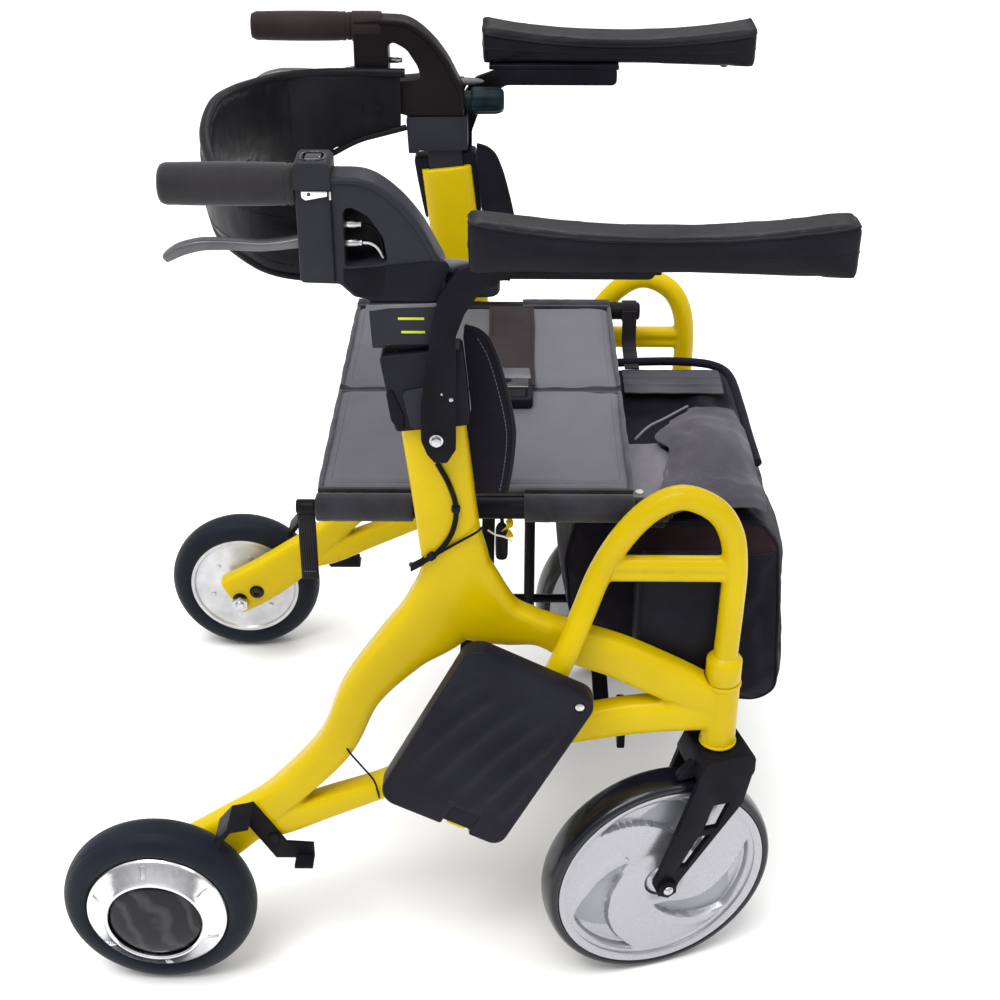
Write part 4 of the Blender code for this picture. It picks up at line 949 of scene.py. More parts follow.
def side_frame(side, s):
    """Welded side frame: leg, rails, web and head tube melted into one skin, then bored for post and stem."""
    y = s * FRAME_Y
    leg = [(*upright_point(UPRIGHT_TOP_Z), UPRIGHT_HALF), (*upright_point(0.62), UPRIGHT_HALF),
           (*UPRIGHT_FOOT, UPRIGHT_HALF), (-0.052, 0.482, 0.033), (-0.066, 0.436, 0.037),
           (-0.106, 0.394, 0.027), (-0.147, 0.341, 0.021), (-0.1765, 0.275, 0.019),
           (-0.2365, 0.206, 0.018), (-0.285, 0.163, 0.025), (-0.331, 0.1285, 0.0285),
           (-0.375, 0.103, 0.029)]
    rail = [(-0.062, 0.466, 0.030), (-0.035, 0.435, 0.029), (-0.004, 0.4225, 0.0215),
            (0.030, 0.4165, 0.0160), (0.066, 0.399, 0.0205), (0.105, 0.384, 0.0215),
            (0.150, 0.361, 0.022), (HEAD_X - 0.022, 0.342, 0.020), (HEAD_X - 0.003, 0.331, 0.015)]
    lower = [(HEAD_X - 0.004, 0.318, 0.018), (0.142, 0.315, 0.0195), (0.088, 0.306, 0.019),
             (0.0, 0.283, 0.016), (-0.070, 0.2515, 0.0135), (-0.130, 0.2215, 0.0125),
             (-0.185, 0.198, 0.015), (-0.240, 0.174, 0.017), (-0.290, 0.163, 0.016)]
    web = [(-0.048, 0.505, 0.020), (-0.031, 0.470, 0.021), (-0.006, 0.436, 0.0165), (0.022, 0.4235, 0.0125),
           (0.060, 0.404, 0.010)]
    shells = [flat_sweep(leg, y, FRAME_T), flat_sweep(rail, y, FRAME_T, 0.62),
              flat_sweep(web, y, FRAME_T - 0.001, 0.62), flat_sweep(lower, y, FRAME_T - 0.002, 0.62),
              bar((HEAD_X, y, HEAD_LOW_Z), (HEAD_X, y, HEAD_TOP_Z), HEAD_R, 48)]
    body = fused(shells, 0.0017, 5)
    bore = slab(upright_quad(0.53, UPRIGHT_TOP_Z + 0.03, POST_HALF + RUN), y - POST_T / 2 - RUN,
                y + POST_T / 2 + RUN)
    lid = bar((HEAD_X, y, HEAD_TOP_Z), (HEAD_X, y, 0.40), HEAD_R + 0.0012, 48)
    stem = bar((HEAD_X, y, HEAD_LOW_Z - 0.01), (HEAD_X, y, HEAD_LOW_Z + 0.03), STEM_R + RUN, 28)
    body = cut(body, [bore, lid, stem])
    piece(side + "_frame_skin", body, "yellow_gloss_paint", side + "_frame",
          side + "_side_frame", angle=50)


def frame_fittings(side, s):
    """Lugs of the folding struts, bolts at the foot of the rear leg and the welds at the head tube."""
    owner = side + "_frame"
    y = s * FRAME_Y
    lugs = []
    for x in (-0.066, 0.112):
        lift = 0.033 if x > 0 else 0.010
        lug = moulding([(x - 0.004, LINK_Z - 0.009, 0.0015), (x + 0.004, LINK_Z - 0.009, 0.0015),
                        (x + 0.004, LINK_Z + lift, 0.0015), (x - 0.004, LINK_Z + lift, 0.0015)], 3,
                       s * (RAIL_Y - 0.009), s * (FRAME_Y - 0.004))
        lugs.append(softened(lug, 0.0008, 2))
    lugs.append(bar((-0.066, s * RAIL_Y, LINK_Z), (0.112, s * RAIL_Y, LINK_Z), 0.005, 24))
    piece(side + "_fold_lugs", joined(lugs), "black_satin_paint", owner)
    for k, (x, z) in enumerate(((-0.3635, 0.1045), (-0.340, 0.117))):
        hex_bolt(f"{side}_leg_bolt_{k + 1}", (x, y - s * FRAME_T / 2, z), (0, -s, 0), 0.0135, 0.0045, owner,
                 "blackened_bolt", socket=True)
    seam = turned([(0, HEAD_R + 0.0001), (0.0008, HEAD_R + 0.0012), (0.0024, HEAD_R + 0.0012),
                   (0.0032, HEAD_R + 0.0001), (0.0032, HEAD_R - 0.003), (0, HEAD_R - 0.003)],
                  (HEAD_X, y, HEAD_LOW_Z + 0.001), (0, 0, 1), 48)
    piece(side + "_head_lip", seam, "yellow_gloss_paint", owner)
    weld = turned([(0, HEAD_R - 0.002), (0, HEAD_R + 0.0002), (-0.0012, HEAD_R + 0.0010),
                   (-0.0034, HEAD_R + 0.0010), (-0.0046, HEAD_R + 0.0002), (-0.0046, HEAD_R - 0.002)],
                  (HEAD_X, y, HEAD_TOP_Z - 0.0005), (0, 0, 1), 48)
    piece(side + "_head_rim", weld, "yellow_gloss_paint", owner)


def seat_rail(side, s):
    """Tube that the seat half turns on, with its end caps and the saddle on the side frame."""
    y = s * RAIL_Y
    cap = [(0, 0.0004), (0, RAIL_R - 0.002), (0.002, RAIL_R), (0.012, RAIL_R), (0.012, 0.0004)]
    rod = bar((SEAT_X[0] + 0.002, y, HINGE_Z), (0.150, y, HINGE_Z), RAIL_R - 0.0001, 40)
    ends = [turned([(a, r) for a, r in cap], (SEAT_X[0], y, HINGE_Z), (1, 0, 0), 40),
            turned([(a, r) for a, r in cap], (0.152, y, HINGE_Z), (-1, 0, 0), 40)]
    saddle = moulding([(-0.083, HINGE_Z - 0.014, 0.003), (-0.036, HINGE_Z - 0.014, 0.003),
                       (-0.036, HINGE_Z + 0.006, 0.003), (-0.083, HINGE_Z + 0.006, 0.003)], 4,
                      y - s * 0.004, s * (FRAME_Y - FRAME_T / 2 - GAP))
    piece(side + "_rail_tube", joined([rod] + ends + [softened(saddle, 0.0012)]), "black_satin_paint",
          side + "_frame", side + "_seat_rail")


def ring_slots(centre, s):
    """Cutters for the six short slots in the sloping face of the hub ring."""
    slots = []
    for k in range(6):
        t = math.radians(96 - 60 * k)
        out = Vector((math.cos(t), 0, math.sin(t)))
        side_way = Vector((-math.sin(t), 0, math.cos(t)))
        tool = block((-0.006, -0.0022, -0.0016), (0.0065, 0.0022, 0.0016))
        lean = Vector((0, s, 0))
        slope = (out * 0.0155 - lean * 0.0115).normalized()
        face = side_way.cross(slope).normalized()
        spot = Vector(centre) + out * (CAP_R + 0.0125) + lean * (CAP_Y - 0.0072)
        turn = Matrix((slope, side_way, face)).transposed().to_4x4()
        bmesh.ops.transform(tool, matrix=Matrix.Translation(spot) @ turn, verts=tool.verts)
        slots.append(tool)
    return slots


def rear_wheel(side, s):
    """Hub motor wheel: grooved tyre, bright ring with slots, pale back shell and a smoky cap."""
    owner = side + "_rear_wheel"
    centre = (REAR_X, s * REAR_Y, REAR_R)
    rear_tyre(side, centre, owner)
    hub_ring(side, s, centre, owner)
    hub_shell(side, s, centre, owner)
    hub_dome(side, s, centre, owner)


def rear_tyre(side, centre, owner):
    """Tyre with a groove near each shoulder."""
    half = REAR_TYRE_W / 2
    tyre = []
    for k in range(41):
        t = math.pi * k / 40
        swell = math.sin(t) ** 0.8
        groove = 0.0012 * sum(math.exp(-((t - at) / 0.035) ** 2) for at in (0.98, math.pi - 0.98))
        tyre.append((-half * math.cos(t), REAR_R - 0.020 + 0.020 * swell - groove))
    tyre += [(half - 0.0008, RIM_R + 0.003), (half - 0.003, RIM_R + GAP), (-half + 0.003, RIM_R + GAP),
             (-half + 0.0008, RIM_R + 0.003)]
    piece(side + "_tyre", turned(tyre, centre, sides=144), "rear_tyre_rubber", owner,
          side + "_rear_tyre", angle=60)


def hub_ring(side, s, centre, owner):
    """Bright ring between the tyre and the cap, with six slots."""
    ring = [(0.0185, RIM_R - 0.006), (0.0185, RIM_R), (RING_Y - 0.003, RIM_R),
            (RING_Y - 0.001, RIM_R - 0.0012), (RING_Y + 0.0008, RIM_R - 0.004),
            (CAP_Y - 0.0035, CAP_R + 0.0042), (CAP_Y - 0.0008, CAP_R + 0.0018), (CAP_Y, CAP_R - 0.0002),
            (CAP_Y - 0.0015, CAP_R - 0.0016), (CAP_Y - 0.010, CAP_R - 0.002)]
    body = turned([(s * a, r) for a, r in ring], centre, sides=144)
    body = cut(body, [joined(ring_slots(centre, s))])
    piece(side + "_hub_ring", softened(body, 0.0003, 2, 50), "polished_aluminium", owner,
          side + "_motor_hub", angle=25)


def hub_shell(side, s, centre, owner):
    """Pale back of the motor with its six bolts."""
    shell = [(-0.0185, RIM_R), (0.0185, RIM_R), (0.0185, RIM_R - 0.012), (-0.005, 0.020), (-0.0195, 0.018),
             (-0.0195, 0.006 + GAP), (-0.0205, 0.0065), (-0.0205, 0.024), (-0.0185, 0.030), (-0.0165, 0.058),
             (-0.0150, 0.062), (-0.0155, 0.067), (-0.0185, 0.069)]
    bolts = []
    for k in range(6):
        t = 2 * math.pi * k / 6 + 0.3
        spot = Vector(centre) + Vector((0.046 * math.cos(t), -s * 0.0172, 0.046 * math.sin(t)))
        bolts.append(softened(bar(spot, spot - Vector((0, s * 0.0018, 0)), 0.0032, 16), 0.0004, 2))
    piece(side + "_hub_shell", joined([turned([(s * a, r) for a, r in shell], centre, sides=96)] + bolts),
          "pale_motor_back", owner, angle=35)


def hub_dome(side, s, centre, owner):
    """Smoky cap, domed to its edge."""
    cap = [(CAP_Y - 0.009, 0.0004), (CAP_Y - 0.009, CAP_R - 0.0028)]
    for k in range(15):
        t = math.pi / 2 * k / 15
        cap.append((CAP_Y - 0.006 + 0.0070 * math.sin(t), (CAP_R - 0.0026) * math.cos(t) ** 0.72))
    cap.append((CAP_Y + 0.001, 0.0004))
    piece(side + "_hub_dome", turned([(s * a, r) for a, r in cap], centre, sides=120), "smoky_hub_cap", owner,
          side + "_hub_cap", angle=50)


def swirl_depth(r, t, e):
    """How far a place on the caster disc lies in one of its three curved recesses, 0 to 1, and by its rib."""
    low, high = 0.040, 0.1000
    q = (r - low) / (high - low)
    if not 0 < q < 1:
        return 0.0, 0.0
    third = 2 * math.pi / 3
    since = (-e * t - math.radians(138)) % third
    lead, trail = math.radians(62) * q ** 0.85, math.radians(20) + math.radians(98) * q ** 0.75
    soft = 0.0026 / r
    inside = min(since - lead, trail - since) / soft
    ends = min(1.0, min(q * 9, (1 - q) * 22))
    part = min(1.0, max(0.0, inside)) * ends
    rib = math.exp(-((since - lead + 5.5 * soft) / (3.6 * soft)) ** 2) * ends
    return part * part * (3 - 2 * part), rib


def swirl_face(e):
    """One face of the caster disc: a polar grid pressed into three recesses that fan out of the hub."""
    sides, rows = 270, 60
    inner, outer = 0.020, CASTER_RIM_R - 0.001
    grid = []
    for i in range(rows + 1):
        share = i / rows
        r = inner + (outer - inner) * share
        row = []
        for k in range(sides):
            t = 2 * math.pi * k / sides
            depth, rib = swirl_depth(r, t, e)
            crown = 0.0010 * math.sin(math.pi * share)
            step = 0.0012 * min(1.0, max(0.0, (r - 0.1005) / 0.002)) - 0.0006
            lip = 0.0034 * min(1.0, max(0.0, (r - 0.1045) / 0.005)) ** 1.5
            hub = 0.0070 * (1 - min(1.0, (r - inner) / 0.016)) ** 1.6
            slope = 0.0016 * math.sin(3 * (-e * t) + 5.2 * (r / outer) + 0.6)
            slope *= math.sin(math.pi * share) ** 0.7
            rise = crown + step + lip + hub + slope + 0.0013 * rib
            floor = 0.0050 + 0.0022 * (r / outer)
            row.append((r * math.cos(t), e * (0.0122 + rise - floor * depth), r * math.sin(t)))
        grid.append(row)
    return grid


def place(bm, matrix):
    """The bmesh moved by a matrix."""
    bmesh.ops.transform(bm, matrix=matrix, verts=bm.verts)
    return bm


def caster(side, s):
    """Caster wheel, fork and axle, turned out of line as in the photo."""
    pose = Matrix.Translation((HEAD_X, s * FRAME_Y, 0)) @ Matrix.Rotation(CASTER_YAW, 4, "Z")
    at_hub = pose @ Matrix.Translation((-CASTER_TRAIL, 0, CASTER_R))
    caster_ring(side, at_hub)
    caster_disc(side, at_hub)
    axle_beads(side, pose)
    refined(side + "_caster_fork", "black_satin_paint", 0.0012, 3, 35)
    refined(side + "_caster_axle", "black_satin_paint", 0.0008, 3, 35)


def caster_ring(side, at_hub):
    """Glossy tyre of the caster."""
    half = CASTER_W / 2
    tread = [(-half + 0.0014, CASTER_RIM_R + GAP)]
    for k in range(25):
        t = math.pi * k / 24
        tread.append((-half * math.cos(t), CASTER_R - 0.0085 + 0.0085 * math.sin(t) ** 0.62))
    tread += [(half - 0.0014, CASTER_RIM_R + GAP)]
    piece(side + "_caster_ring", place(turned(tread, (0, 0, 0), sides=160), at_hub), "caster_tyre",
          side + "_caster_wheel", side + "_caster_tyre", angle=60)


def caster_disc(side, at_hub):
    """Silver rim, boss and both faces of the disc, painted shade in darker grey where its recesses are deep.
    """
    half = CASTER_W / 2
    rim = turned([(-half + 0.0006, CASTER_RIM_R), (half - 0.0006, CASTER_RIM_R),
                  (half - 0.0004, CASTER_RIM_R - 0.003), (half - 0.0030, CASTER_RIM_R - 0.0075),
                  (-half + 0.0030, CASTER_RIM_R - 0.0075), (-half + 0.0004, CASTER_RIM_R - 0.003)], (0, 0, 0),
                 sides=160)
    boss = turned([(-0.0208, 0.0065), (-0.0208, 0.0145), (-0.0195, 0.0160), (-0.0120, 0.0215),
                   (0.0120, 0.0215), (0.0195, 0.0160), (0.0208, 0.0145), (0.0208, 0.0065)], (0, 0, 0),
                  sides=64)
    faces = []
    for e in (-1, 1):
        grid = swirl_face(e)
        back = [[(x, e * 0.004, z) for x, y, z in row] for row in (grid[0], grid[-1])]
        faces.append(skin([back[0]] + grid + [back[1]], closed=True))
    disc = joined([rim, boss] + faces)
    obj = piece(side + "_caster_disc", place(disc, at_hub), ["silver_wheel_paint", "wheel_recess_painted_shade"],
                side + "_caster_wheel", side + "_caster_rim", angle=45)
    # Faces deep in the recesses take the darker grey of painted shade
    local = at_hub.inverted() @ Matrix.Translation((-STATION_X, 0, 0))
    for face in obj.data.polygons:
        spot = local @ face.center
        depth = swirl_depth(math.hypot(spot.x, spot.z), math.atan2(spot.z, spot.x),
                            1 if spot.y > 0 else -1)[0]
        if depth > 0.5 and 0.005 < abs(spot.y) < 0.0135:
            face.material_index = 1


def axle_beads(side, pose):
    """Bright heads at both ends of the caster's axle."""
    bead = turned([(0, 0.0004), (0, 0.0040), (0.0012, 0.0052), (0.0022, 0.0046), (0.0032, 0.0030),
                   (0.0036, 0.0004)], (0, 0, 0), sides=32)
    heads = []
    for e in (-1, 1):
        mirror = bead.copy()
        move = Matrix.Translation((-CASTER_TRAIL, e * (FORK_IN + FORK_T + 0.0048), CASTER_R))
        heads.append(place(mirror, pose @ (move @ Matrix.Scale(e, 4, (0, 1, 0)))))
    bead.free()
    piece(side + "_axle_beads", joined(heads), "zinc_bolt", side + "_fork")


def plate_axes():
    """Directions across and along the tilted footplate."""
    across = Vector((math.cos(PLATE_LEAN), 0, -math.sin(PLATE_LEAN)))
    along = Vector((math.sin(PLATE_LEAN), 0, math.cos(PLATE_LEAN)))
    return across, along


def leg_support(side, s):
    """Hanger: hoop with two crossbars, collar on the head tube and the footplate's hinge."""
    owner = side + "_hanger"
    y = s * FRAME_Y
    low = HEAD_TOP_Z + GAP
    across, along = plate_axes()
    foot = Vector((PLATE_FOOT[0], s * LEG_Y, PLATE_FOOT[1]))
    hoop = [(HEAD_X, y, low + 0.012), (HEAD_X + 0.002, y, 0.44), (HEAD_X + 0.002, y, 0.49),
            (0.204, y, 0.526), (0.187, y, 0.551), (0.157, y, 0.563), (0.129, y, 0.550),
            (0.104, y, 0.520), (0.084, s * 0.264, 0.482), (0.068, s * 0.280, 0.446),
            (0.052, s * 0.296, 0.410), (0.034, s * LEG_Y, 0.375),
            tuple(foot + along * 0.08), tuple(foot + along * 0.006)]
    shells = [tube(hoop, HOOP_R), bar((0.094, y, 0.4905), (HEAD_X, y, 0.4905), 0.0085, 32),
              bar((0.094, y, 0.4795), (HEAD_X, y, 0.4795), 0.0075, 32)]
    skin_mesh = fused(shells, 0.0015, 5)
    piece(side + "_hanger_hoop", skin_mesh, "yellow_gloss_paint", owner, side + "_hanger",
          angle=50)
    collar = turned([(0, STEM_R), (0, HEAD_R - 0.0008), (0.001, HEAD_R), (0.0235, HEAD_R),
                     (0.0255, HEAD_R - 0.001), (0.0275, HEAD_R - 0.0035), (0.029, HOOP_R + 0.0008),
                     (0.0305, HOOP_R - 0.001), (0.0305, STEM_R)], (HEAD_X, y, low), (0, 0, 1), 64)
    pin = bar((HEAD_X, y, low - 0.030), (HEAD_X, y, low + 0.01), STEM_R, 32)
    piece(side + "_hanger_collar", joined([collar, pin]), "yellow_gloss_paint", owner)
    pin_at = foot + Vector((0, s * (PLATE_T / 2 + HOOP_R + 0.0045), 0))
    hinge_pin = bar(pin_at - across * 0.035, pin_at + across * 0.035, 0.005, 24)
    lug = slab([((foot + across * a + along * b).x, (foot + across * a + along * b).z)
                for a, b in ((-0.010, -0.007), (0.010, -0.007), (0.010, 0.010), (-0.010, 0.010))],
               foot.y - s * 0.004, pin_at.y + s * 0.007)
    piece(side + "_plate_hinge", joined([hinge_pin, softened(lug, 0.002)]), "yellow_gloss_paint", owner)
    return pin_at


def footplate(side, s, pin_at):
    """Moulded tread plate with soft ribs along its outer face."""
    across, along = plate_axes()
    left, right = PLATE_A
    low, top = PLATE_B
    thick = PLATE_T
    foot = Vector((PLATE_FOOT[0], 0, PLATE_FOOT[1]))

    def at(a, b, t):
        spot = foot + across * a + along * b
        return Vector((spot.x, pin_at.y + s * t, spot.z))

    outline = arc_outline([(left, low, 0.020), (right, low, 0.013), (right, top, 0.017), (left, top, 0.019)],
                          8)
    base = skin([[at(a, b, t) for a, b in outline] for t in (-thick / 2, thick / 2)])
    notch = skin([[at(a, b, t) for a, b in ((-0.015, -0.03), (0.015, -0.03), (0.015, 0.018), (-0.015, 0.018))]
                  for t in (-0.03, 0.03)])
    hole = bar(at(right - PLATE_HOLE_IN, top - PLATE_HOLE_IN, -0.03),
               at(right - PLATE_HOLE_IN, top - PLATE_HOLE_IN, 0.03), 0.0045, 32)
    bore = bar(pin_at - across * 0.037, pin_at + across * 0.037, 0.0056, 24)
    base = softened(cut(base, [notch, hole, bore]), 0.0026, 4, 40)
    piece(side + "_plate_body", base, "ribbed_plate_plastic", side + "_footplate",
          side + "_footplate")
    plate_tread(side, s, at)
    head = turned([(0, 0.0003), (0, 0.0043), (0.0008, 0.0043), (0.0017, 0.0030), (0.0019, 0.0003)],
                  at(right - PLATE_HOLE_IN, top - PLATE_HOLE_IN, thick / 2 - 0.0012), (0, s, 0), 28)
    piece(side + "_plate_screw", head, "zinc_bolt", side + "_footplate")


def plate_tread(side, s, at):
    """Outer face of the plate, with soft slanting ribs that fade out near its edges."""
    left, right = PLATE_A
    low, top = PLATE_B
    thick = PLATE_T
    rows, columns = 110, 72
    inset = 0.006
    bm = bmesh.new()
    grid = []
    for i in range(rows + 1):
        row = []
        for k in range(columns + 1):
            a = left + inset + (right - left - 2 * inset) * k / columns
            b = low + inset + (top - low - 2 * inset) * i / rows
            soft = min(1.0, (a - left - inset) / 0.010, (right - inset - a) / 0.012,
                       (b - low - inset) / 0.020, (top - inset - b) / 0.012)
            soft = max(0.0, soft)
            v = a * 0.86 - b * 0.20 + 0.006 * math.sin(b * 21)
            ridge = 0.5 + 0.5 * math.sin(v * 2 * math.pi / 0.024 + 0.6)
            fade = 0.5 + 0.5 * math.sin(b * 26 + a * 18 - 0.4)
            ends = min(1.0, max(0.0, (top - 0.030 - b) / 0.02)) * min(1.0, max(0.0, (b - 0.022) / 0.03))
            wave = 0.0030 * ridge ** 1.5 * (0.35 + 0.65 * fade) * soft * ends
            lift = thick / 2 - 0.0009 + 0.0011 * soft + wave
            if math.hypot(a - right + PLATE_HOLE_IN, b - top + PLATE_HOLE_IN) < 0.0085:
                lift = thick / 2 - 0.002
            if abs(a) < 0.021 and b < 0.022:
                lift = thick / 2 - 0.002
            row.append(bm.verts.new(at(a, b, lift)))
        grid.append(row)
    mesh_rows(bm, grid)
    edge = [e for e in bm.edges if e.is_boundary]
    made = bmesh.ops.extrude_edge_only(bm, edges=edge)["geom"]
    for vert in [g for g in made if isinstance(g, bmesh.types.BMVert)]:
        vert.co.y -= s * 0.004
    bmesh.ops.contextual_create(bm, geom=[e for e in bm.edges if e.is_boundary])
    piece(side + "_plate_tread", bm, "ribbed_plate_plastic", side + "_footplate", angle=50)


def upright_clamp(side, s):
    """Moulded sleeve round the top of the upright, with the post that slides in it."""
    owner = side + "_frame"
    y = s * FRAME_Y
    outer_y = s * (ARM_Y - ARM_T / 2 - GAP)
    base_y = outer_y - s * 0.0024
    rows = [(0.7158, -0.0362, 0.0355), (0.690, -0.0352, 0.0355), (0.664, -0.0336, 0.0350),
            (0.6425, -0.0318, 0.0338)]
    outline = [(*upright_point(z, a), 0.004) for z, a, b in rows] \
        + [(*upright_point(z, b), 0.004) for z, a, b in reversed(rows)]
    shell = softened(moulding(outline, 4, y - s * FRAME_T * 0.2, base_y), 0.0018, 3, 40)
    raised = [(*upright_point(0.6820, -0.021), 0.005), (*upright_point(0.6850, 0.020), 0.005),
              (*upright_point(0.6480, 0.020), 0.004), (*upright_point(0.6450, -0.018), 0.004)]
    face = softened(moulding(raised, 5, base_y - s * 0.0012, outer_y), 0.0007, 3, 40)
    core = slab(upright_quad(0.60, UPRIGHT_TOP_Z + GAP, UPRIGHT_HALF + GAP), y - s * 0.03,
                y + s * (FRAME_T / 2 + GAP))
    slot = slab(upright_quad(0.60, UPRIGHT_TOP_Z + 0.05, POST_HALF + RUN), y - s * 0.03,
                y + s * (POST_T / 2 + RUN))
    shell = cut(shell, [core, slot])
    piece(side + "_clamp_sleeve", shell, "moulded_black_plastic", owner,
          side + "_upright_sleeve")
    piece(side + "_clamp_face", face, "grey_black_housing", owner)
    cam = [(*upright_point(0.6830, -0.0350), 0.0025), (*upright_point(0.6840, -0.0290), 0.0025),
           (*upright_point(0.6600, -0.0225), 0.006), (*upright_point(0.6455, -0.0235), 0.003),
           (*upright_point(0.6440, -0.0290), 0.003), (*upright_point(0.6560, -0.0345), 0.008)]
    lever = softened(moulding(cam, 6, base_y - s * 0.001, outer_y - s * 0.0006), 0.0009, 3, 40)
    piece(side + "_clamp_cam", lever, "black_satin_paint", owner)
    post = softened(slab(upright_quad(0.553, POST_TOP_Z - 0.0005, POST_HALF), y - POST_T / 2, y + POST_T / 2),
                    0.0022, 4)
    piece(side + "_post_tube", post, "grey_black_housing", side + "_handle",
          side + "_height_post")


def housing_look(s):
    """The far handle's housing is browner than the near one's."""
    return "grey_black_housing" if s < 0 else "brown_black_housing"


def handle(side, s):
    """Quarter-arch housing and the clamp block under it, with the brake cable's ends in its window."""
    arch_housing(side, s)
    if s < 0:
        window_parts(s)
    clamp_cover(side, s)
    clamp_block(side, s)
    cable_ends(side, s)


def post_socket(s, low):
    """The room that the height post needs in the pieces round it."""
    y = s * FRAME_Y
    return slab(upright_quad(low, POST_TOP_Z + GAP, POST_HALF + GAP), y - POST_T / 2 - GAP,
                y + POST_T / 2 + GAP)


def arch_housing(side, s):
    """Arched housing with its window, the lever's mouth and a raised rim."""
    owner = side + "_handle"
    y = s * HANDLE_Y
    arch = [(-0.178, 0.7785, 0.004), (-0.145, 0.7775, 0.006), (-0.1335, 0.7662, 0.005),
            (-0.116, 0.762, 0.008), (-0.056, 0.762, 0.004), (-0.056, 0.788, 0.010), (-0.0645, 0.808, 0.030),
            (-0.0765, 0.830, 0.040), (-0.095, 0.853, 0.040), (-0.118, 0.8690, 0.040), (-0.144, 0.8712, 0.040),
            (-0.178, 0.8692, 0.004)]
    foot = 0.7925 if s < 0 else 0.8010
    window = [(-0.1395, foot, 0.004), (-0.1035, foot + 0.0035, 0.005), (-0.107, 0.819, 0.020),
              (-0.119, 0.838, 0.022), (-0.1395, 0.849, 0.006)]
    web = moulding(arch, 6, y - HANDLE_T / 2 + 0.0016, y + HANDLE_T / 2 - 0.0016)
    opening = moulding(window, 6, y - 0.04, y + 0.04)
    mouth = block((-0.190, y - LEVER_SLOT_HALF, 0.7985), (-0.1515, y + LEVER_SLOT_HALF, 0.8235))
    body = cut(softened(web, 0.0030, 4, 40), [opening, post_socket(s, 0.72), mouth])
    shells = [softened(body, 0.0010, 3, 40),
              bar((-0.174, y, GRIP_Z), (GRIP_X[0] + 0.006, y, GRIP_Z), 0.0104, 28)]
    piece(side + "_arch", joined(shells), housing_look(s), owner, side + "_handle_body")
    rim_line = [(-0.0592, 0.768), (-0.0592, 0.789), (-0.0672, 0.8065), (-0.0785, 0.8275), (-0.0968, 0.8498),
                (-0.1190, 0.8652), (-0.1450, 0.8676), (-0.1770, 0.8657)]
    if s > 0:
        rim_line[-1] = (-0.1475, 0.8674)
    rim = flat_sweep([(x, z, 0.0035) for x, z in rim_line], y, HANDLE_T, 0.5, 0.004, 20)
    piece(side + "_arch_rim", softened(rim, 0.0008, 2, 50), housing_look(s), owner)


def window_parts(s):
    """Black plate behind the window as painted shade, the sill below it and the joint line of the housing's
    two halves.
    """
    owner = "right_handle"
    y = s * HANDLE_Y
    outer = y + s * HANDLE_T / 2
    # The black plate behind the window paints the shade inside the housing
    back = moulding([(-0.1425, 0.7890, 0.003), (-0.1000, 0.7920, 0.004), (-0.1030, 0.8210, 0.020),
                     (-0.1160, 0.8430, 0.022), (-0.1425, 0.8530, 0.004)], 5, y + 0.0120, y + 0.0142)
    piece("right_window_painted_shade", back, "black_leatherette", owner)
    sill = moulding([(-0.1410, 0.7915, 0.001), (-0.1050, 0.7945, 0.002), (-0.1090, 0.7680, 0.004),
                     (-0.1290, 0.7675, 0.004), (-0.1410, 0.7790, 0.005)], 4, outer - 0.0004,
                    outer + 0.002)
    piece("right_window_sill", softened(sill, 0.0003, 2), "black_satin_paint", owner)
    joint = softened(block((-0.1489, outer - 0.0012, 0.7810), (-0.1479, outer + 0.002, 0.852)), 0.0002, 1)
    piece("housing_joint", joint, "black_satin_paint", owner)


def clamp_cover(side, s):
    """Lid over the clamp on the housing's outer face, with its pale tip."""
    owner = side + "_handle"
    outer = s * HANDLE_Y + s * HANDLE_T / 2
    cover = [(-0.1345, 0.7870, 0.003), (-0.1190, 0.7935, 0.008), (-0.0600, 0.7998, 0.010),
             (-0.0475, 0.7998, 0.006), (-0.0540, 0.7900, 0.006), (-0.0620, 0.7700, 0.010),
             (-0.0660, 0.7637, 0.003), (-0.1210, 0.7637, 0.005)]
    lid = moulding(cover, 6, outer - s * 0.0060, outer + s * 0.0002)
    hole = bar((-0.1122, outer - s * 0.004, 0.7794), (-0.1122, outer + s * 0.004, 0.7794), 0.0026, 24)
    lid = cut(softened(lid, 0.0012, 3, 40), [hole])
    piece(side + "_clamp_cover", lid, "moulded_black_plastic", owner)
    tip = []
    for k in range(17):
        t = k / 16
        x = -0.0680 + 0.0345 * t
        swell = math.sin(math.pi * min(1.0, 0.18 + 0.82 * t)) ** 0.45 if t < 1 else 0.12
        tip.append([(x, outer - s * 0.0052 + 0.0050 * swell * math.cos(a),
                     0.7957 - 0.0006 * (1 - t) + 0.0044 * swell * math.sin(a))
                    for a in [2 * math.pi * j / 20 for j in range(20)]])
    piece(side + "_cover_tip", skin(tip), "pale_cover_tip", owner)


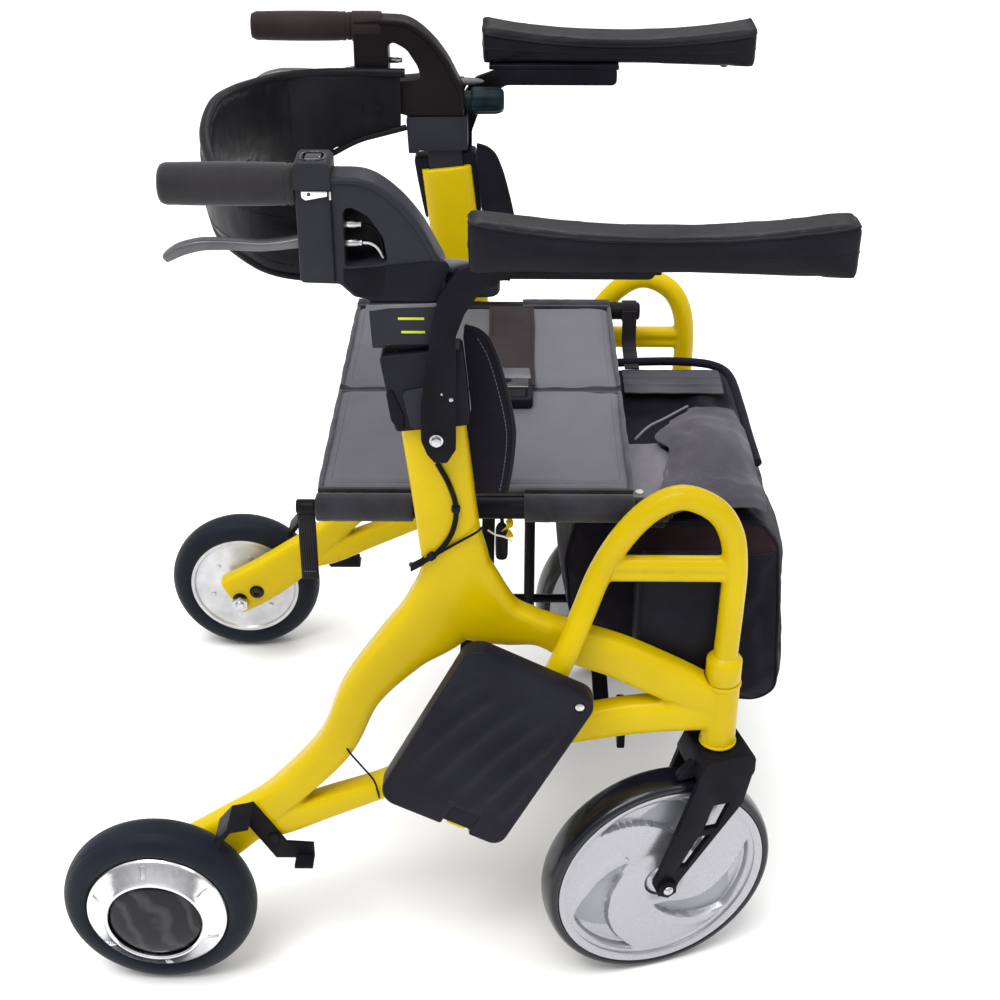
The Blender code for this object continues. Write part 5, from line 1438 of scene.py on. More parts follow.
def clamp_block(side, s):
    """Block that clamps the height post, with its ledge and the two height marks."""
    owner = side + "_handle"
    y = s * HANDLE_Y
    outer = y + s * HANDLE_T / 2
    under = [(-0.1215, 0.7620, 0.003), (-0.0520, 0.7625, 0.002), (-0.0520, 0.7245, 0.002),
             (-0.1090, 0.7235, 0.003), (-0.1095, 0.7205, 0.001), (-0.1195, 0.7205, 0.001)]
    lump = softened(moulding(under, 4, y - HANDLE_T / 2, y + HANDLE_T / 2 - 0.0004), 0.0014, 3, 40)
    piece(side + "_clamp_block", cut(lump, [post_socket(s, 0.70)]), "grey_black_housing", owner)
    ledge = [(-0.1235, 0.7605, 0.0015), (-0.0570, 0.7625, 0.001), (-0.0570, 0.7590, 0.001),
             (-0.1050, 0.7570, 0.003), (-0.1235, 0.7540, 0.0015)]
    shelf = softened(moulding(ledge, 4, outer - s * 0.004, outer + s * 0.0002), 0.0006, 2, 40)
    piece(side + "_block_ledge", shelf, "pale_cover_tip", owner)
    bars = []
    for x0, x1, z in ((-0.0970, -0.0745, 0.7478), (-0.0945, -0.0740, 0.7354)):
        mark = moulding([(x0, z - 0.0012, 0.0006), (x1, z - 0.0012, 0.0006), (x1, z + 0.0012, 0.0006),
                         (x0, z + 0.0012, 0.0006)], 3, outer - s * 0.002, outer + s * 0.0001)
        bars.append(softened(mark, 0.0003, 2))
    piece(side + "_height_marks", joined(bars), "yellow_green_marker", owner)


def cable_ends(side, s):
    """Bright ferrules in the window, and on the right handle the two wires that run down from them."""
    owner = side + "_handle"
    y = s * HANDLE_Y
    ends = []
    for z in (0.8275, 0.8108) if s < 0 else (0.8215,):
        ends.append(turned([(0, 0.0004), (0, 0.0032), (0.0012, 0.0036), (0.0100, 0.0036), (0.0108, 0.0030),
                            (0.0142, 0.0030), (0.0150, 0.0022), (0.0150, 0.0004)],
                           (-0.1400, y + s * 0.004, z), (1, 0, 0), 28))
    piece(side + "_cable_ends", joined(ends), "zinc_bolt", owner)
    if s < 0:
        upper = tube([(-0.126, y - 0.004, 0.8275), (-0.118, y - 0.004, 0.8255), (-0.1105, y - 0.004, 0.8165),
                      (-0.1080, y - 0.004, 0.7995)], 0.0011, 0.003, 12)
        piece("right_upper_wire", upper, "cable_sheath", owner)
        lower = tube([(-0.126, y - 0.004, 0.8108), (-0.1185, y - 0.004, 0.8100), (-0.1125, y - 0.004, 0.8055),
                      (-0.1085, y - 0.004, 0.7975)], 0.0011, 0.003, 12)
        piece("right_lower_wire", lower, "white_nylon_tie", owner)


def hand_grip(side, s):
    """Rubber grip with a flange and two grooves, and on the left handle the cuff before it."""
    length = GRIP_X[1] - GRIP_X[0]
    full = 0.0170 if s < 0 else 0.0152
    profile = [(0, 0.0109), (0, full - 0.0020), (0.0008, full - 0.0004), (0.0030, full + 0.0002),
               (0.0052, full - 0.0004), (0.0064, full - 0.0009)]
    for k in range(37):
        t = k / 36
        swell = full + 0.0010 * math.sin(math.pi * (0.15 + 0.75 * t))
        groove = 0.0004 * sum(math.exp(-((t - at) / 0.012) ** 2) for at in (0.05, 0.93))
        profile.append((0.0072 + (length - 0.0135) * t, swell - groove))
    profile += [(length - 0.0040, full - 0.0002), (length - 0.0018, full - 0.0014), (length - 0.0004, 0.0132),
                (length, 0.0100), (length - 0.0012, 0.0090), (length - 0.0014, 0.0042),
                (length - 0.0050, 0.0040), (length - 0.0050, 0.0109)]
    look = "grip_rubber" if s < 0 else "brown_grip_rubber"
    piece(side + "_grip_sleeve", turned(profile, (GRIP_X[1], s * HANDLE_Y, GRIP_Z), (-1, 0, 0), 80), look,
          side + "_handle", side + "_grip", angle=50)
    if s > 0:
        cuff = turned([(0, 0.0100), (0, 0.0160), (0.0004, 0.0163), (0.0300, 0.0163), (0.0330, 0.0154),
                       (0.0330, 0.0100)], (GRIP_X[1], HANDLE_Y, GRIP_Z), (1, 0, 0), 80)
        piece("left_grip_cuff", cuff, look, "left_handle", angle=50)


def brake_lever(side, s):
    """Curved lever blade below the grip."""
    stations = [(-0.1640, 0.8115, 0.0055), (-0.1730, 0.8110, 0.0058), (-0.1825, 0.8098, 0.0048),
                (-0.1980, 0.8076, 0.0044), (-0.2113, 0.8067, 0.0044), (-0.2260, 0.8074, 0.0046),
                (-0.2405, 0.8080, 0.0048), (-0.2540, 0.8079, 0.0050), (-0.2632, 0.8072, 0.0052),
                (-0.2770, 0.8036, 0.0054), (-0.2865, 0.7990, 0.0050), (-0.2925, 0.7950, 0.0038)]
    blade = flat_sweep(stations, s * HANDLE_Y, 0.0124, 0.62, 0.004, 28)
    piece(side + "_lever_blade", softened(blade, 0.0016, 3, 50), "grey_lever_paint", side + "_brake_lever",
          side + "_brake_lever")


def clamp_knob(side, s):
    """Lobed knob that clamps the height post."""
    profile = [(-0.0556, 0.0004), (-0.0556, 0.0110), (-0.0480, 0.0110), (-0.0476, 0.0140), (-0.0462, 0.0152),
               (-0.0440, 0.0156), (-0.0210, 0.0154), (-0.0160, 0.0146), (-0.0125, 0.0128), (-0.0106, 0.0095),
               (-0.0104, 0.0060), (-0.0112, 0.0052), (-0.0112, 0.0004)]
    axis_z = 0.777
    bm = turned(profile, (0, s * HANDLE_Y, axis_z), (1, 0, 0), 96)
    for vert in bm.verts:
        y, z = vert.co.y - s * HANDLE_Y, vert.co.z - axis_z
        out = math.hypot(y, z)
        if out > 0.012 and vert.co.x > -0.0478:
            lobe = 1 - 0.045 * (0.5 - 0.5 * math.cos(12 * math.atan2(z, y))) ** 2
            vert.co.y, vert.co.z = s * HANDLE_Y + y * lobe, axis_z + z * lobe
    piece(side + "_knob_body", bm, "dark_teal_knob", side + "_clamp_knob",
          side + "_clamp_knob", angle=35)


def speed_control():
    """Switch housing clamped on the right handle, its sprung drive button, and the bare panel below it."""
    y = -HANDLE_Y
    low = 0.8696
    switch_case(y, low)
    drive_button(y, low)
    switch_panel(y - HANDLE_T / 2)


def switch_case(y, low):
    """Housing that is hollowed to sit on the handle, with the well of the button."""
    shape = [(-0.1785, low - 0.009, 0.001), (-0.1480, low - 0.009, 0.001), (-0.1480, low + 0.0105, 0.0035),
             (-0.1515, low + 0.0138, 0.003), (-0.1752, low + 0.0138, 0.003), (-0.1785, low + 0.0105, 0.0035)]
    case = moulding(shape, 5, y - 0.0185, y + 0.0185)
    under = moulding([(-0.2, low - 0.03, 0.001), (-0.12, low - 0.03, 0.001), (-0.12, low + 0.0002, 0.001),
                      (-0.2, low + 0.0002, 0.001)], 2, y - 0.0172, y + 0.0172)
    well = softened(block((-0.1712, y - 0.0078, low + 0.007), (-0.1548, y + 0.0078, low + 0.02)), 0.001, 2)
    case = cut(softened(case, 0.0016, 4, 40), [under, well])
    piece("switch_case", softened(case, 0.0005, 2, 50), "grey_black_housing", "right_handle",
          "control_pod")


def drive_button(y, low):
    """Glossy surround and the hollowed button in it."""
    ring = []
    for k in range(64):
        t = 2 * math.pi * k / 64
        c, q = math.cos(t), math.sin(t)
        ring.append(Vector((-0.163 + 0.0098 * math.copysign(abs(c) ** 0.7, c),
                            y + 0.0108 * math.copysign(abs(q) ** 0.7, q), low + 0.0139)))
    piece("switch_surround", ring_tube(ring, 0.0009), "gloss_switch_plastic", "right_handle")
    cap = softened(block((-0.1700, y - 0.0066, low + 0.0094), (-0.1560, y + 0.0066, low + 0.0150)), 0.0019, 4)
    for vert in cap.verts:
        if vert.co.z > low + 0.0135:
            vert.co.z -= 0.0012 * (1 - abs(vert.co.x + 0.163) / 0.0075)
    piece("drive_button_cap", cap, "gloss_switch_plastic", "drive_button", "drive_button")


def switch_panel(outer):
    """Bare bright strip, clip and screw on the handle's outer face."""
    plate = moulding([(-0.1690, 0.8520, 0.0025), (-0.1510, 0.8555, 0.001), (-0.1510, 0.8598, 0.0008),
                      (-0.1722, 0.8598, 0.0008), (-0.1722, 0.8545, 0.002)], 4, outer - 0.0007,
                     outer + 0.004)
    piece("switch_strip", softened(plate, 0.0004, 2), "polished_aluminium", "right_handle")
    edge = softened(block((-0.1496, outer - 0.0008, 0.8525), (-0.1478, outer + 0.003, 0.8598)), 0.0004, 2)
    piece("switch_clip", edge, "zinc_bolt", "right_handle")
    dot = turned([(0, 0.0003), (0, 0.0016), (0.0006, 0.0013), (0.0008, 0.0003)],
                 (-0.1660, outer - 0.0005, 0.8572), (0, -1, 0), 20)
    piece("switch_screw", dot, "blackened_bolt", "right_handle")


def puffed(bm, voxel, cap, pressure=4.0, smooth=2):
    """A closed form blown up as cloth, no point moved further than cap, then subdivided once."""

    def melt(obj):
        mod = obj.modifiers.new("melt", "REMESH")
        mod.mode = "VOXEL"
        mod.voxel_size = voxel
        ease = obj.modifiers.new("ease", "SMOOTH")
        ease.iterations = smooth

    def finer(obj):
        obj.modifiers.new("finer", "SUBSURF").levels = 1

    melted = evaluated(bm, melt)
    mesh = bpy.data.meshes.new("puff")
    melted.to_mesh(mesh)
    obj = bpy.data.objects.new("puff", mesh)
    scene = bpy.context.scene
    scene.collection.objects.link(obj)
    cloth = obj.modifiers.new("cloth", "CLOTH")
    cloth.settings.use_pressure = True
    cloth.settings.uniform_pressure_force = pressure
    cloth.settings.effector_weights.gravity = 0
    cloth.settings.quality = 4
    cloth.point_cache.frame_start = 1
    cloth.point_cache.frame_end = 20
    for step in range(1, 21):
        scene.frame_set(step)
    swollen = bpy.data.meshes.new_from_object(obj.evaluated_get(bpy.context.evaluated_depsgraph_get()))
    for vert, moved in zip(melted.verts, swollen.vertices):
        shift = moved.co - vert.co
        vert.co += shift * min(1.0, cap / shift.length) if shift.length else shift
    scene.frame_set(1)
    bpy.data.objects.remove(obj, do_unlink=True)
    bpy.data.meshes.remove(swollen)
    bpy.data.meshes.remove(mesh)
    return evaluated(melted, finer)


def tree_of(obj):
    """Search tree over a shown piece, in world coordinates."""
    return BVHTree.FromPolygons([v.co for v in obj.data.vertices], [p.vertices for p in obj.data.polygons])


def laid(points, obj, way=(0, 0, -1), lift=0.0002, reach=0.05):
    """Points, from the seat's station line, dropped along way onto a shown piece."""
    tree = tree_of(obj)
    way = Vector(way).normalized()
    out = []
    for point in points:
        start = Vector(point) + STATION - way * reach
        spot = tree.ray_cast(start, way, 2 * reach)[0]
        if spot:
            out.append(spot - way * lift - STATION)
    return out


def nearest(points, obj, sink=0.0):
    """Points pulled onto the nearest place of a shown piece."""
    tree = tree_of(obj)
    out = []
    for point in points:
        spot, normal = tree.find_nearest(Vector(point) + STATION)[:2]
        out.append(spot - normal * sink - STATION)
    return out


def stitches(name, points, body, surface="grey_thread", pitch=0.0042, radius=0.00045):
    """A row of raised threads along a line of points."""
    parts = []
    path = curve_points(points, pitch)
    for a, b in zip(path, path[1:]):
        ahead = b - a
        parts.append(bar(a + ahead * 0.12, a + ahead * 0.82, radius, 6))
    return piece(name, joined(parts), surface, body)


def free_of_body(obj):
    """Let go of the body that a piece rides on."""
    world = obj.matrix_world.copy()
    obj.parent = None
    obj.matrix_world = world
    del obj["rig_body"]
    return obj


def armrest(side, s):
    """Bracket with its pivot bolt, rivets and screws, and the pad on it."""
    owner = side + "_armrest"
    y0, y1 = s * (ARM_Y - ARM_T / 2), s * (ARM_Y + ARM_T / 2)
    shape = [(-0.0795, 0.636, 0.006), (-0.0745, 0.6225, 0.006), (-0.0680, 0.6140, 0.004),
             (-0.0570, 0.6140, 0.004), (-0.0490, 0.6275, 0.006), (-0.0484, 0.690, 0.030),
             (-0.0480, 0.735, 0.020), (-0.0400, 0.757, 0.020), (-0.0250, 0.7790, 0.020),
             (-0.0080, 0.7885, 0.014), (0.1180, 0.7885, 0.006), (0.1180, 0.8062, 0.003),
             (-0.0180, 0.8062, 0.012), (-0.0450, 0.7965, 0.020), (-0.0620, 0.772, 0.030),
             (-0.0695, 0.735, 0.040), (-0.0742, 0.700, 0.030), (-0.0793, 0.668, 0.020)]
    arm = softened(moulding(shape, 8, y0, y1), 0.0016, 4, 40)
    tray = softened(block((-0.028, y0, PAD_Z[0] - 0.0060), (0.120, s * (PAD_Y + 0.012), PAD_Z[0] - GAP)),
                    0.0014, 3)
    under = []
    for x in (0.0, 0.05, 0.10):
        screw = bar((x, s * PAD_Y, PAD_Z[0] - 0.0085), (x, s * PAD_Y, PAD_Z[0] - 0.0055), 0.0048, 20)
        under.append(softened(screw, 0.0006, 2))
    piece(side + "_armrest_bracket", joined([arm, tray]), "black_satin_paint", owner,
          side + "_armrest_arm")
    piece(side + "_pad_screws", joined(under), "zinc_bolt", owner)
    hex_bolt(side + "_armrest_bolt", (-0.066, y1, 0.637), (0, s, 0), 0.0085, 0.0048, owner)
    rivets = []
    for x, z, r in ((-0.0605, 0.6820, 0.0012), (-0.0525, 0.6770, 0.0019)):
        rivets.append(turned([(0, 0.0003), (0, r), (0.0006, r * 0.95), (0.0011, r * 0.55), (0.0012, 0.0003)],
                             (x, y1, z), (0, s, 0), 20))
    piece(side + "_bracket_rivets", joined(rivets), "zinc_bolt", owner)
    arm_pad(side, s, owner)


def pad_low(x):
    """Height of the armrest pad's underside over its length."""
    return PAD_Z[0] - 0.0034 * ramp(x, 0.130, 0.265)


def pad_top(x, inner=False):
    """Height of the armrest pad's edge over its length: it dips in the middle and rises to both ends."""
    u = (x - 0.122) / 0.143
    return (0.8368 if inner else 0.8412) + (0.0118 if inner else 0.0120) * min(1.2, u * u)


def pad_section(x, s):
    """Section of the armrest pad, as (y, z) points round it: upright sides and a crowned, tilted top."""
    half = PAD_W / 2 - 0.0008
    low = pad_low(x) + 0.0004
    out_z, in_z = pad_top(x) - 0.0006, pad_top(x, True) - 0.0002
    corners = [(-half, low, 0.0016), (half, low, 0.0016), (half, out_z, 0.0022), (-half, in_z, 0.0080)]
    loop = []
    for across, z in arc_outline(corners, 5):
        loop.append((s * (PAD_Y + across), z))
    return loop


def arm_pad(side, s, owner):
    """Upholstered armrest pad: padded body, piping round the top and a seam half-way down."""
    steps = 62
    loops = []
    for i in range(steps + 1):
        share = i / steps
        x = PAD_X[0] + 0.0008 + (PAD_X[1] - PAD_X[0] - 0.0016) * share
        near_end = min(share, 1 - share) * (PAD_X[1] - PAD_X[0])
        pull = 0.0040 * max(0.0, 1 - near_end / 0.0042) ** 2
        loops.append([(x, s * PAD_Y + (y - s * PAD_Y) * (1 - pull / 0.026), z) for y, z in pad_section(x, s)])
    pad = puffed(skin(loops), 0.0034, 0.0014, smooth=1)
    for vert in pad.verts:
        co = vert.co
        co.x = min(max(co.x, PAD_X[0] + 0.0002), PAD_X[1] - 0.0002)
        co.z = max(co.z, pad_low(co.x) + 0.0002)
        fold = noise.noise(co * 34) * 0.0005 + noise.noise(co * 95) * 0.0002
        co.y += fold
        if co.z > PAD_Z[0] + 0.012:
            co.z += 0.7 * fold
    obj = piece(side + "_armrest_cushion", pad, "black_leatherette", owner,
                side + "_armrest_pad", angle=60)
    left, right, half = PAD_X[0] + 0.0006, PAD_X[1] - 0.0006, PAD_W / 2 - 0.0006
    plan = arc_outline([(left, -half, 0.004), (right, -half, 0.004), (right, half, 0.004),
                        (left, half, 0.004)], 6)
    plan = even([(a, b, 0) for a, b in plan], 0.0035)
    for name, radius, share in (("piping", 0.0013, 1.0), ("lower_seam", 0.0006, 0.45)):
        line = []
        for spot in plan:
            across = (spot.y / half + 1) / 2
            top = pad_top(spot.x, True) * (1 - across) + pad_top(spot.x) * across
            low = pad_low(spot.x)
            high = top - 0.0016 - 0.0042 * (1 - across) if share == 1.0 else low + (top - low) * share
            line.append(Vector((spot.x, s * (PAD_Y + spot.y), high)))
        bead = ring_tube(nearest(line, obj), radius)
        piece(f"{side}_armrest_{name}", bead, "black_leatherette", owner, angle=60)
    nub = turned([(0, 0.0004), (0, 0.0036), (0.0016, 0.0046), (0.0062, 0.0046), (0.0062, 0.0004)],
                 (0.2422, s * PAD_Y, pad_low(0.2422) - 0.0056), (0, 0, 1), 28)
    piece(side + "_pad_nub", nub, "moulded_black_plastic", owner)


def side_guard(side, s):
    """Curved fabric guard in front of the upright, piped along its free edge."""
    y = s * (FRAME_Y - 0.0085)
    rear_low = upright_point(0.642, UPRIGHT_HALF + 0.0056)
    rear_top = upright_point(UPRIGHT_TOP_Z + 0.013, UPRIGHT_HALF + 0.0070)
    foot = upright_point(0.5585, UPRIGHT_HALF - 0.0004)
    free = [(rear_top[0] + 0.001, 0.7290), (-0.0245, 0.7215), (-0.0140, 0.7000), (-0.0075, 0.6770),
            (-0.0028, 0.6570), (0.0012, 0.6350), (0.0020, 0.6170), (-0.0010, 0.5860),
            (-0.0050, foot[1] + 0.001)]
    rear = [rear_top, rear_low, upright_point(0.638, UPRIGHT_HALF - 0.0004), foot]
    columns, rows = 22, 36
    edge = curve_points([(x, 0, z) for x, z in free], 0.004)
    grid = []
    for i in range(rows + 1):
        share = i / rows
        out = edge[round(share * (len(edge) - 1))]
        z = rear_top[1] + (foot[1] - rear_top[1]) * share
        low = next((a, b) for a, b in zip(rear, rear[1:]) if z >= b[1] - 1e-9)
        part = 0 if low[0][1] == low[1][1] else (low[0][1] - z) / (low[0][1] - low[1][1])
        x = low[0][0] + (low[1][0] - low[0][0]) * part
        row = []
        for k in range(columns + 1):
            u = k / columns
            here = Vector((x, 0, z)).lerp(Vector((out.x, 0, out.z)), u)
            bow = 0.0010 * math.sin(math.pi * u) * math.sin(math.pi * share)
            here.y = y + s * (bow + 0.0005 * noise.noise(here * 60))
            row.append(here)
        grid.append(row)
    bm = bmesh.new()
    rims = []
    for way in (-1, 1):
        face = [[bm.verts.new(p + Vector((0, way * 0.0012, 0))) for p in row] for row in grid]
        mesh_rows(bm, face)
        rims.append(border(face))
    bridge(bm, *rims)
    owner = side + "_frame"
    panel = piece(side + "_guard_panel", bm, "black_nylon", owner, side + "_side_guard",
                  angle=60)
    bead = tube([(p.x, y, p.z) for p in edge[::3]] + [tuple(edge[-1] + Vector((0, y, 0)))], 0.0021, 0.004, 14)
    piece(side + "_guard_piping", bead, "black_leatherette", owner, angle=60)
    inset = [Vector((p.x - 0.0065, y, p.z - 0.002)) for p in edge[1::4]]
    line = laid(inset, panel, (0, -s, 0), 0.0002)
    if len(line) > 3:
        stitches(side + "_guard_stitches", line, owner)


def seat_half(side, s):
    """Half seat: padded panel, the loops that turn on the rail, corded edges, stitches and knuckles."""
    panel = seat_panel(side, s)
    seat_loops(side, s)
    seat_edges(side, s, panel)
    seat_knuckles(side, s)


def seat_panel(side, s):
    """Padded panel, creased and pulled down along its seams."""
    inner, outer = SEAT_Y
    low, top = HINGE_Z + 0.0010, HINGE_Z + 0.0118
    loops = []
    for i in range(41):
        u = i / 40
        x = SEAT_X[0] + 0.0016 + (SEAT_X[1] - SEAT_X[0] - 0.0032) * u
        end = min(1.0, (1 - abs(2 * u - 1) ** 18) + 0.03) ** 0.5
        high = low + 0.004 + (top - low - 0.004) * end
        loops.append([(x, s * y, z) for y, z in
                      ((inner, HINGE_Z + 0.0080), (inner + 0.0004, high - 0.0012), (inner + 0.003, high),
                       (0.03, high), (0.08, high), (0.14, high), (0.19, high), (outer - 0.004, high - 0.0004),
                       (outer, high - 0.003), (outer, low + 0.002), (outer - 0.003, low), (0.16, low),
                       (0.10, low), (0.05, low), (0.022, low), (0.010, HINGE_Z + 0.0052))])
    panel = puffed(skin(loops), 0.0050, 0.0030, smooth=1)
    nearest_y = min(abs(vert.co.y) for vert in panel.verts)
    ends = min(vert.co.x for vert in panel.verts), max(vert.co.x for vert in panel.verts)
    for vert in panel.verts:
        co = vert.co
        y = abs(co.y)
        if y < 0.03:
            y = 0.03 - (0.03 - y) * (0.03 - inner) / (0.03 - nearest_y)
        share = (co.x - ends[0]) / (ends[1] - ends[0])
        co.x = SEAT_X[0] + 0.0008 + (SEAT_X[1] - SEAT_X[0] - 0.0016) * share
        if co.z > HINGE_Z + 0.007:
            ease = min(1.0, max(0.0, (y - 0.006) / 0.05))
            crease = 0.0006 * noise.noise(Vector((co.x * 9, co.y * 16, 0))) * ease
            pull = 0.0022 * bump_at((co.x, y), (0.093, 0.008), (0.014, 0.011))
            pull += 0.0016 * bump_at((co.x, y), (-0.150, 0.010), (0.030, 0.012)) * (s < 0)
            tuck = 0.0013 * bump_at((y,), (SEAT_SEAM_Y,), (0.0022,))
            co.z += crease + 0.0004 * noise.noise(co * 55) - pull - tuck
        floor = HINGE_Z + 0.0003 if y > 0.0215 else HINGE_Z + 0.0003 + 0.0076 * (0.0215 - y) / 0.018
        co.z = min(max(co.z, floor), HINGE_Z + SEAT_T - 0.0002)
        co.x = min(max(co.x, SEAT_X[0] + 0.0004), SEAT_X[1] - 0.0004)
        co.y = s * min(max(y, 0.0026), 0.2192)
    obj = piece(side + "_seat_panel", panel, ["slate_seat_cloth", "dark_seat_binding"], side + "_seat",
                side + "_seat_half", angle=60)
    return obj


def seat_loops(side, s):
    """Loops round the seat rail and flat parts joining them to the panel, dark cloth as painted shade."""
    loops_over = []
    for a, b in ((SEAT_X[0] + 0.0015, -0.0925), (0.0125, SEAT_X[1] - 0.0015)):
        wrap = [(0, RAIL_R + 0.0007), (0, RAIL_R + 0.0022), (0.0006, RAIL_R + 0.0028)]
        count = 24
        for k in range(1, count):
            wave = 0.00035 * noise.noise(Vector((a * 30 + k, 3.1 * s, 0)))
            wrap.append(((b - a) * k / count, RAIL_R + 0.0030 + wave))
        wrap += [(b - a - 0.0006, RAIL_R + 0.0028), (b - a, RAIL_R + 0.0022), (b - a, RAIL_R + 0.0007)]
        loops_over.append(turned(wrap, (a, s * RAIL_Y, HINGE_Z), (1, 0, 0), 56))
        loops_over.append(softened(block((a, s * (SEAT_Y[1] - 0.003), HINGE_Z + 0.0005),
                                         (b, s * (RAIL_Y - 0.0115), HINGE_Z + 0.0128)), 0.0012, 2))
    # The loops' dark cloth is painted shade on the rolled edge of the seat
    piece(side + "_seat_loops", joined(loops_over), "dark_seat_binding", side + "_seat",
          angle=50)


def seat_edges(side, s, obj):
    """Cords along the front and rear edges, rows of stitches and, on the right half, a rivet."""
    owner = side + "_seat"
    outer = SEAT_Y[1]
    for x, name in ((SEAT_X[0] + 0.0030, "rear"), (SEAT_X[1] - 0.0030, "front")):
        line = [(x + 0.0003 * math.sin(k * 1.9), s * (0.006 + (outer - 0.008) * k / 14),
                 HINGE_Z + 0.0100 + 0.0003 * math.sin(k * 2.7)) for k in range(15)]
        bead = tube(line, 0.0027, 0.005, 16, lambda t: 1 - 0.25 * abs(2 * t - 1) ** 8)
        piece(f"{side}_seat_{name}_cord", bead, "seat_edge_cloth", owner, angle=60)
        away = 0.0100 if x < 0 else -0.0100
        seam = laid([(x + away, s * y, HINGE_Z + 0.02) for y in np.linspace(0.014, 0.200, 20)], obj)
        stitches(f"{side}_seat_{name}_stitches", seam, owner, "slate_seat_cloth", 0.0040,
                 0.00030)
    along = np.linspace(SEAT_X[0] + 0.014, SEAT_X[1] - 0.014, 26)
    seam = laid([(x, s * SEAT_SEAM_Y, HINGE_Z + 0.02) for x in along], obj)
    stitches(side + "_seat_side_stitches", seam, owner, "slate_seat_cloth", 0.0040, 0.00030)
    if s < 0:
        spot = laid([(0.095, -0.0062, HINGE_Z + 0.03)], obj)[0]
        rivet = turned([(0, 0.0003), (0, 0.0028), (0.0007, 0.0026), (0.0012, 0.0014), (0.0013, 0.0003)],
                       (spot.x, spot.y, spot.z - 0.0003), (0, 0, 1), 20)
        piece("seat_rivet", rivet, "blackened_bolt", owner)


def seat_knuckles(side, s):
    """This half's knuckles on the centre hinge, which take turns with the other half's."""
    mine = [(-0.175, -0.135), (0.060, 0.100)] if s < 0 else [(-0.130, -0.090), (0.036, 0.056)]
    knuckles = []
    for a, b in mine:
        knuckles.append(turned([(0, 0.0047), (0, 0.0060), (0.0006, 0.0065), (b - a - 0.0006, 0.0065),
                                (b - a, 0.0060), (b - a, 0.0047)], (a, 0, HINGE_Z), (1, 0, 0), 28))
    piece(side + "_seat_knuckles", joined(knuckles), "black_satin_paint", side + "_seat")


def lap_belt():
    """Both halves of the lap belt, laid over the seat, and the buckle between them."""
    top = HINGE_Z + SEAT_T
    for side, s in SIDES.items():
        x = -0.0010 if s > 0 else -0.0150
        width = 0.0520 if s > 0 else 0.026
        if s > 0:
            line = [(x, 0.205, top + 0.0018), (x + 0.0008, 0.150, top + 0.0026), (x, 0.100, top + 0.0018),
                    (x - 0.0006, 0.050, top + 0.0024), (x, 0.016, top + 0.0028), (x, -0.010, top + 0.0050)]
        else:
            line = [(x, -0.2055, top + 0.0018), (x + 0.0006, -0.160, top + 0.0024),
                    (x - 0.0005, -0.110, top + 0.0019), (x, -0.070, top + 0.0030), (x, -0.050, top + 0.0050)]
        belt = strip(line, (1, 0, 0), width, 0.0019, 0.0030,
                     lambda t, a: 0.0003 * math.sin(9 * t + a) * (1 - t))
        obj = piece(side + "_belt_webbing", belt, "brown_black_webbing", side + "_seat",
                    side + "_lap_belt", angle=60)
        if s > 0:
            obj = free_of_body(obj)
            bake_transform(obj)
        for edge in (0.004 - width / 2, width / 2 - 0.004):
            seam = laid([(p[0] + edge, p[1], p[2]) for p in curve_points(line[:3], 0.01)], obj)
            stitches(f"{side}_belt_stitches_{'front' if edge > 0 else 'rear'}", seam, side + "_seat",
                     "brown_black_webbing")
    buckle(top)


def buckle(top):
    """Push-button buckle: dark shell, bright button plate and the slot that the tongue enters."""
    low = top + 0.0006
    shape = [(-0.0260, -0.0555, 0.006), (0.0220, -0.0555, 0.006), (0.0220, -0.0180, 0.004),
             (0.0190, -0.0045, 0.003), (-0.0230, -0.0045, 0.003), (-0.0260, -0.0180, 0.004)]
    outline = arc_outline(shape, 6)
    shell = skin([[(x, y, z) for x, y in outline] for z in (low, low + 0.0112)])
    slot = block((-0.0245, -0.012, low + 0.0028), (0.0205, 0.004, low + 0.0074))
    seat = block((-0.0200, -0.0500, low + 0.0092), (0.0160, -0.0300, low + 0.020))
    shell = cut(softened(shell, 0.0024, 4, 40), [slot, softened(seat, 0.0015, 3)])
    piece("belt_buckle_shell", softened(shell, 0.0005, 2, 50), "moulded_black_plastic", "right_seat",
          "belt_buckle")
    plate = softened(block((-0.0215, -0.0285, low + 0.0106), (0.0175, -0.0085, low + 0.0118)), 0.0005, 2)
    piece("belt_buckle_plate", plate, "gloss_switch_plastic", "right_seat")
    catch = slab_flat([(-0.0235, 0.0040, 0.002), (0.0205, 0.0040, 0.002), (0.0190, 0.0300, 0.003),
                       (-0.0215, 0.0300, 0.003)], low + 0.0040, low + 0.0062)
    piece("belt_tongue_plate", softened(catch, 0.0006, 3), "grey_lever_paint", "left_seat")
    button = softened(block((-0.0185, -0.0490, low + 0.0092), (0.0145, -0.0312, low + 0.0114)), 0.0009, 3)
    piece("belt_buckle_button", button, "moulded_black_plastic", "right_seat")
    tongue = slab_flat([(-0.0215, -0.0110, 0.001), (0.0175, -0.0110, 0.001), (0.0185, 0.0040, 0.003),
                        (-0.0225, 0.0040, 0.003)], low + 0.0058, low + 0.0068)
    piece("belt_tongue", softened(tongue, 0.0004, 2), "zinc_bolt", "right_seat")


